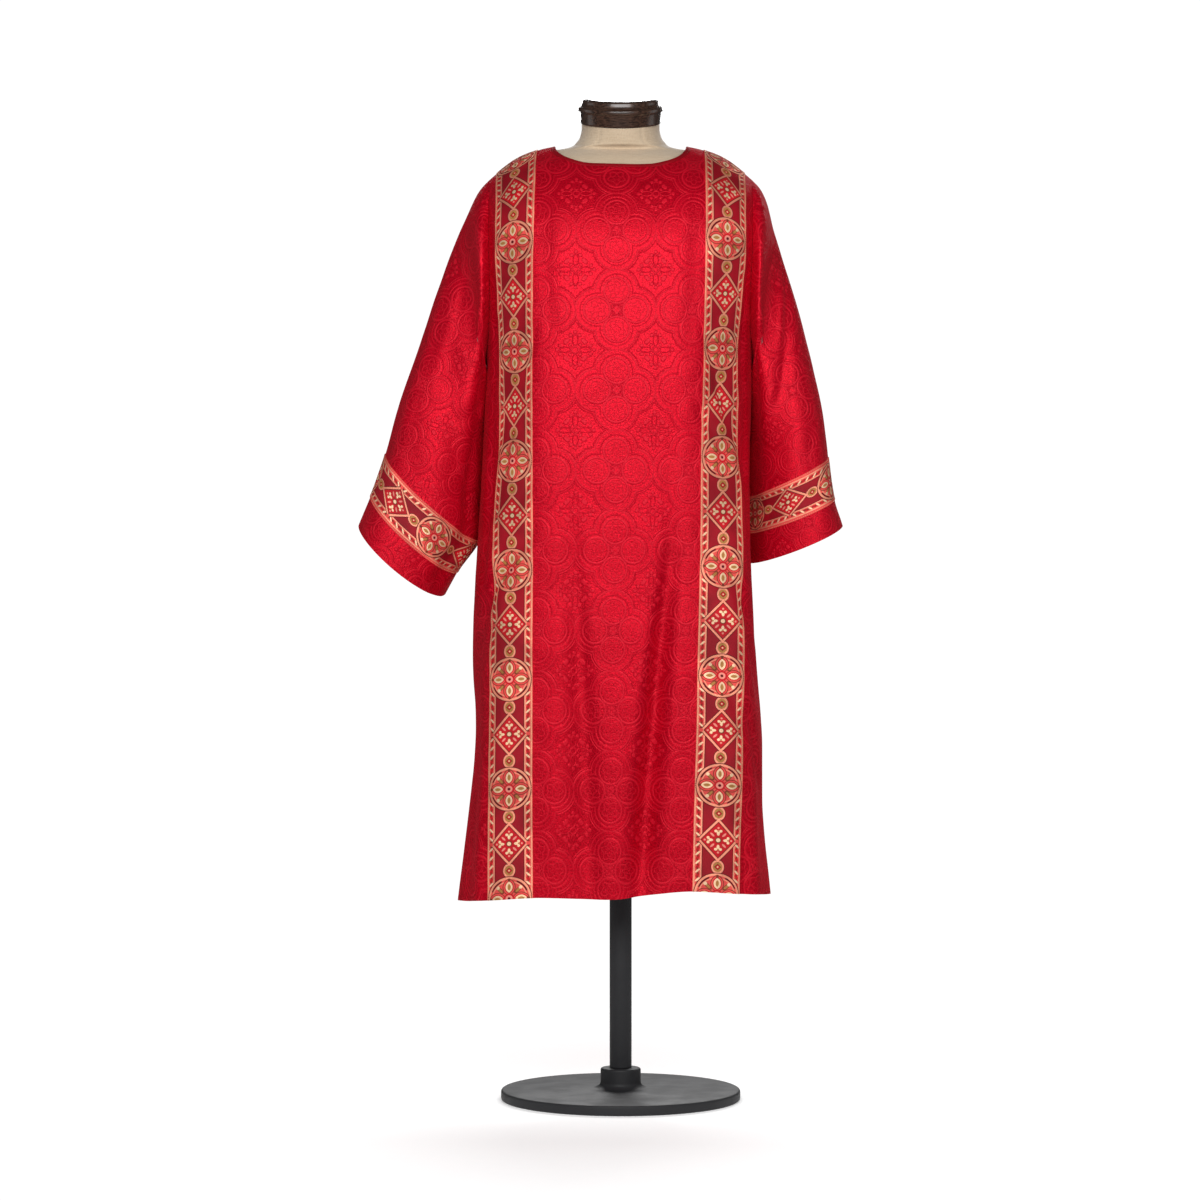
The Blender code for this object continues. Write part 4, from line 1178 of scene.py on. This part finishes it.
    colour = BAND_FIELD
    metal = 0.0
    for mask, tint, gold in border + loops + diamond + roundel:
        colour = band.mixed(mask, colour, tint)
        metal = band.between(mask, metal, gold)
    grain = band.noise(band.stretched(place, 1.0, 2.6), 900.0, 1.5, 0.6)
    # Painted sheen: broad patches make the whole band's colour lighter and darker, standing in for the gold
    # threads catching the light in some places and not in others.
    patches = band.noise(band.stretched(place, 1.0, 0.8), 17.0, 2.0, 0.6)
    tone = grain.span(0.25, 0.75, 0.76, 1.06) * patches.span(0.36, 0.62, 0.76, 1.08)
    band.colour(band.shaded(colour, tone))
    rim = band.edge_on()
    band.drive("Metallic", metal * 0.45 * (rim * -0.9 + 1.0))
    band.drive("Roughness", (grain - 0.5) * 0.2 + metal * -0.12 + rim * 0.4 + 0.58)
    ribs = (v * (2000.0 * math.pi / 0.9)).step("SINE")
    band.relief(metal * 0.6 + grain * 0.35 + ribs * 0.12, 0.0004)
    return band.material


def sewing_line(edge, beside):
    """The line of the stitches, just inside the edge of a band."""
    return edge + unit(beside - edge) * STITCH_INSET


gold_galloon = galloon()

# The side, and where a roundel lies below the chest line.
ORPHREYS = {"right": (-1.0, -0.018), "left": (1.0, -0.0226)}
band_edges = []
for hand, (side, first) in ORPHREYS.items():
    middle = side * (BAND_INNER + BAND_OUTER) / 2
    columns = np.flatnonzero(np.abs(REACH - middle) < (BAND_OUTER - BAND_INNER) / 2 + 1e-9)
    points = np.concatenate((surface["back"][0][::-1, columns], surface["front"][0][1:, columns]))
    lifted = points + outward(points) * LIFT
    run = run_along(lifted)
    run = (run - run[len(ROW_HEIGHTS) + 2 * YOKE_ROWS]).mean(axis=1) - first
    places = np.stack(np.meshgrid(REACH[columns] - middle, run), axis=2)
    piece = cloth(f"{hand}_orphrey", lifted, places, GALLOON_WALL, (gold_galloon,), outside=True)
    face = lifted + outward(lifted) * GALLOON_WALL
    band_edges += [sewing_line(face[:, 0], face[:, 1]), sewing_line(face[:, -1], face[:, -2])]
    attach(piece, "root")
    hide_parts(f"orphrey_{hand}")


# ---------------------------------------------------------------- cuff bands
# The same galloon, sewn round each sleeve a finger's breadth above its hem, its ends meeting at the seam
# below.

# Where a roundel lies round the sleeve, from the top line, back positive.
CUFF_ROUNDEL = {"right": -0.018, "left": -0.051}
for hand, (points, places, upper, lower) in sleeve.items():
    lifted = (points + outward(points, wrap=True) * LIFT)[upper : lower + 1]
    around = places[upper : lower + 1, :, 0] - CUFF_ROUNDEL[hand]
    down = places[upper : lower + 1, :, 1]
    band_places = np.stack((down - (down[0] + down[-1]) / 2, around), axis=2)
    piece = cloth(f"{hand}_cuff_band", lifted, band_places, GALLOON_WALL, (gold_galloon,), wrap=True,
                  outside=True)
    face = lifted + outward(lifted, wrap=True) * GALLOON_WALL
    for line in (sewing_line(face[0], face[1]), sewing_line(face[-1], face[-2])):
        band_edges.append(np.concatenate((line, line[:1])))
    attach(piece, "root")
    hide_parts(f"cuff_band_{hand}")


# ---------------------------------------------------------------- neck binding
# A bias strip of the plain red silk, folded over the raw neck edge and sewn down on both faces. Its turned
# ends make a small thick knot at each shoulder seam.

# The folded strip cut across, in millimetres: away from the opening, and out from the cloth.
BINDING_SECTION = (
    (7.6, 0.5), (6.0, 1.15), (3.5, 1.5), (1.0, 1.45), (-0.9, 0.7), (-1.4, -0.7), (-0.9, -2.2), (2.0, -2.75),
    (6.4, -2.5), (6.5, -1.9), (2.0, -1.95), (-0.4, -1.75), (-0.6, -0.7), (-0.3, 0.25), (2.0, 0.32),
    (7.4, 0.2),
)
BINDING_RED = (0.25, 0.0010, 0.0060)
KNOT_REACH = 0.009
KNOT_SWELL = 1.2


def binding_silk():
    silk = Finish("red_silk_binding", Roughness=0.55, Metallic=0.2, Specular_IOR_Level=0.25)
    place = silk.object_place()
    grain = silk.noise(place, 1400.0, 2.0)
    cloud = silk.noise(place, 60.0, 3.0)
    silk.colour(silk.mixed((grain * 0.6 + cloud * 0.4).span(0.35, 0.65), BINDING_RED, DEEP_RED))
    silk.drive("Roughness", silk.edge_on() * 0.4 + 0.55)
    silk.relief(grain, 0.0003)
    return silk.material


def neck_binding():
    inside = np.flatnonzero(np.abs(REACH) <= NECK_CORNER + 1e-9)
    edge = {panel: surface[panel][0][0, inside] for panel in PANELS}
    ways = {panel: (outward(surface[panel][0]) * -PANELS[panel]["sign"])[0, inside] for panel in PANELS}
    loops = []
    for rim in (edge, ways):
        front = rim["front"].copy()
        front[[0, -1]] = (front[[0, -1]] + rim["back"][[0, -1]]) / 2
        loops.append(np.concatenate((front, rim["back"][-2:0:-1])))
    loop, out = loops[0], unit(loops[1])
    inward = unit(np.cross(out, np.roll(loop, -1, 0) - np.roll(loop, 1, 0)))
    knots = loop[[0, len(inside) - 1]]
    apart = np.linalg.norm(loop[:, None] - knots[None], axis=2).min(axis=1)
    swell = 1 + KNOT_SWELL * np.exp(-((apart / KNOT_REACH) ** 2))
    section = np.array(BINDING_SECTION) / 1000
    grid = loop[:, None] - inward[:, None] * section[None, :, :1] + out[:, None] * (
        section[None, :, 1:] * swell[:, None, None]
    )
    rings, steps = grid.shape[:2]
    faces = grid_faces(rings + 1, steps, wrap=True) % (rings * steps)
    mesh = mesh_of("neck_binding", grid.reshape(-1, 3), faces)
    bm = bmesh.new()
    bm.from_mesh(mesh)
    bmesh.ops.recalc_face_normals(bm, faces=bm.faces)
    bm.to_mesh(mesh)
    bm.free()
    made = shown("neck_binding_strip", mesh, binding_silk())
    smooth = made.modifiers.new("smooth", "SUBSURF")
    smooth.levels = 1
    smooth.render_levels = 1
    settled(made)
    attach(made, "root")
    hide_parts("neck_binding")


neck_binding()


# ---------------------------------------------------------------- band stitching
# Short stitches of dull gold thread, three to the centimetre, along both edges of every length of galloon.

STITCH_SPACING = 0.0034
STITCH_LENGTH = 0.0022
THREAD = 0.00035
THREAD_GOLD = (0.60, 0.28, 0.08)


def stitch_tree(finish):
    """One stitch at every step along the lines of the mesh."""
    tree = bpy.data.node_groups.new("running_stitch", "GeometryNodeTree")
    tree.interface.new_socket("Lines", in_out="INPUT", socket_type="NodeSocketGeometry")
    for name in ("Spacing", "Stitch Length", "Thread Radius"):
        tree.interface.new_socket(name, in_out="INPUT", socket_type="NodeSocketFloat")
    tree.interface.new_socket("Stitches", in_out="OUTPUT", socket_type="NodeSocketGeometry")
    given = node(tree, "NodeGroupInput").node.outputs
    radius = given["Thread Radius"]
    curve = node(tree, "GeometryNodeMeshToCurve", {"Mesh": given["Lines"]})
    spaced = {"Curve": curve, "Length": given["Spacing"]}
    steps = node(tree, "GeometryNodeCurveToPoints", spaced, "Points", mode="LENGTH")
    bead = node(tree, "GeometryNodeMeshIcoSphere", {"Radius": 1.0, "Subdivisions": 1})
    half = node(tree, "ShaderNodeMath", (given["Stitch Length"], 0.5), operation="MULTIPLY")
    placed = node(tree, "GeometryNodeInstanceOnPoints", {
        "Points": steps, "Instance": bead, "Rotation": steps.node.outputs["Rotation"],
        "Scale": node(tree, "ShaderNodeCombineXYZ", (radius, radius, half)),
    })
    real = node(tree, "GeometryNodeRealizeInstances", {"Geometry": placed})
    finished = node(tree, "GeometryNodeSetMaterial", {"Geometry": real, "Material": finish})
    feed(tree, tree.nodes.new("NodeGroupOutput").inputs["Stitches"], finished)
    return tree


def thread():
    silk = Finish("gold_sewing_thread", Roughness=0.45, Metallic=0.3)
    twist = silk.noise(silk.object_place(), 1800.0, 2.0)
    silk.colour(silk.mixed(twist, THREAD_GOLD, BAND_PALE_GOLD))
    silk.relief(twist, 0.0002)
    return silk.material


def band_stitching():
    points, edges = [], []
    for line in band_edges:
        edges += [(len(points) + k, len(points) + k + 1) for k in range(len(line) - 1)]
        points += line.tolist()
    finish = thread()
    made = shown("band_stitching", mesh_of("band_stitching", points, edges=edges), finish)
    sewn = made.modifiers.new("stitches", "NODES")
    sewn.node_group = stitch_tree(finish)
    sizes = {"Spacing": STITCH_SPACING, "Stitch Length": STITCH_LENGTH, "Thread Radius": THREAD}
    for item in sewn.node_group.interface.items_tree:
        if item.item_type == "SOCKET" and item.in_out == "INPUT" and item.name in sizes:
            sewn[item.identifier] = sizes[item.name]
    settled(made)
    made.data.shade_smooth()
    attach(made, "root")


band_stitching()


# ---------------------------------------------------------------- floor, light and camera
# A pale floor that fades into a white surround, large soft lights before and behind the garment and weaker
# ones at its sides, and a camera level with the middle of the garment.

FLOOR_REACH = 1.7
FLOOR_WHITE = (0.84, 0.84, 0.84)
FLOOR_BRIGHT = (0.87, 0.87, 0.87)
FLOOR_GLOW = 0.28
SURROUND_WHITE = 1.05
SURROUND_LIGHT = 0.17
SURROUND_GLOSS = 0.05


def studio_floor():
    paper = Finish("studio_paper", Roughness=0.9, Specular_IOR_Level=0.1, Emission_Color=(1.0, 1.0, 1.0, 1.0),
                   Emission_Strength=FLOOR_GLOW)
    place = paper.object_place()
    paper.colour(paper.mixed(paper.noise(place, 3.0), FLOOR_WHITE, FLOOR_BRIGHT))
    paper.drive("Alpha", paper.distance(place, 0.0, 0.0).span(FLOOR_REACH, 0.35))
    corners = [(x * FLOOR_REACH, y * FLOOR_REACH, 0.0) for x, y in ((-1, -1), (1, -1), (1, 1), (-1, 1))]
    shown("studio_floor", mesh_of("studio_floor", corners, [(0, 1, 2, 3)]), paper.material)


def softbox(name, place, aim, size, watts):
    light = bpy.data.lights.new(name, "AREA")
    light.shape = "RECTANGLE"
    light.size, light.size_y = size
    light.energy = watts
    made = linked(name, light)
    made.location = place
    way = np.array(aim) - np.array(place)
    made.rotation_euler = (math.atan2(math.hypot(way[0], way[1]), -way[2]), 0.0, math.atan2(-way[0], way[1]))
    made.visible_camera = False


def surround():
    """White where it is seen, and dimmer as a light."""
    world = bpy.data.worlds.new("studio")
    world.use_nodes = True
    tree = world.node_tree
    ray = node(tree, "ShaderNodeLightPath").node.outputs
    lit = {"Value": ray["Is Glossy Ray"], "To Min": SURROUND_LIGHT, "To Max": SURROUND_GLOSS}
    dim = node(tree, "ShaderNodeMapRange", lit)
    seen = {"Value": ray["Is Camera Ray"], "To Min": dim, "To Max": SURROUND_WHITE}
    background = tree.nodes["Background"].inputs
    background["Color"].default_value = (1.0, 1.0, 1.0, 1.0)
    feed(tree, background["Strength"], node(tree, "ShaderNodeMapRange", seen))
    bpy.context.scene.world = world


studio_floor()
surround()
softbox("front_key", (0.02, -2.15, 1.60), (0.0, 0.0, 1.32), (2.2, 1.0), 54)
softbox("back_key", (0.25, 2.6, 2.30), (0.0, 0.0, 1.05), (2.2, 0.9), 84)
softbox("right_side", (-3.1, 0.5, 1.5), (0.0, 0.0, 0.95), (1.4, 1.8), 6)
softbox("left_side", (3.1, 0.5, 1.5), (0.0, 0.0, 0.95), (1.4, 1.8), 6)
bpy.context.scene.view_settings.view_transform = "Standard"

CAMERA_PLACE = (-0.0328, -5.5, 0.7925)
VIEW_WIDTH = 1.872  # metres across the picture at VIEW_DISTANCE
VIEW_DISTANCE = 5.4
camera = bpy.data.cameras.new("camera")
camera.sensor_width = 36.0
camera.lens = camera.sensor_width * VIEW_DISTANCE / VIEW_WIDTH
camera.clip_end = 50.0
camera_object = linked("camera", camera)
camera_object.location = CAMERA_PLACE
camera_object.rotation_euler = (math.pi / 2, 0.0, 0.0)
bpy.context.scene.camera = camera_object
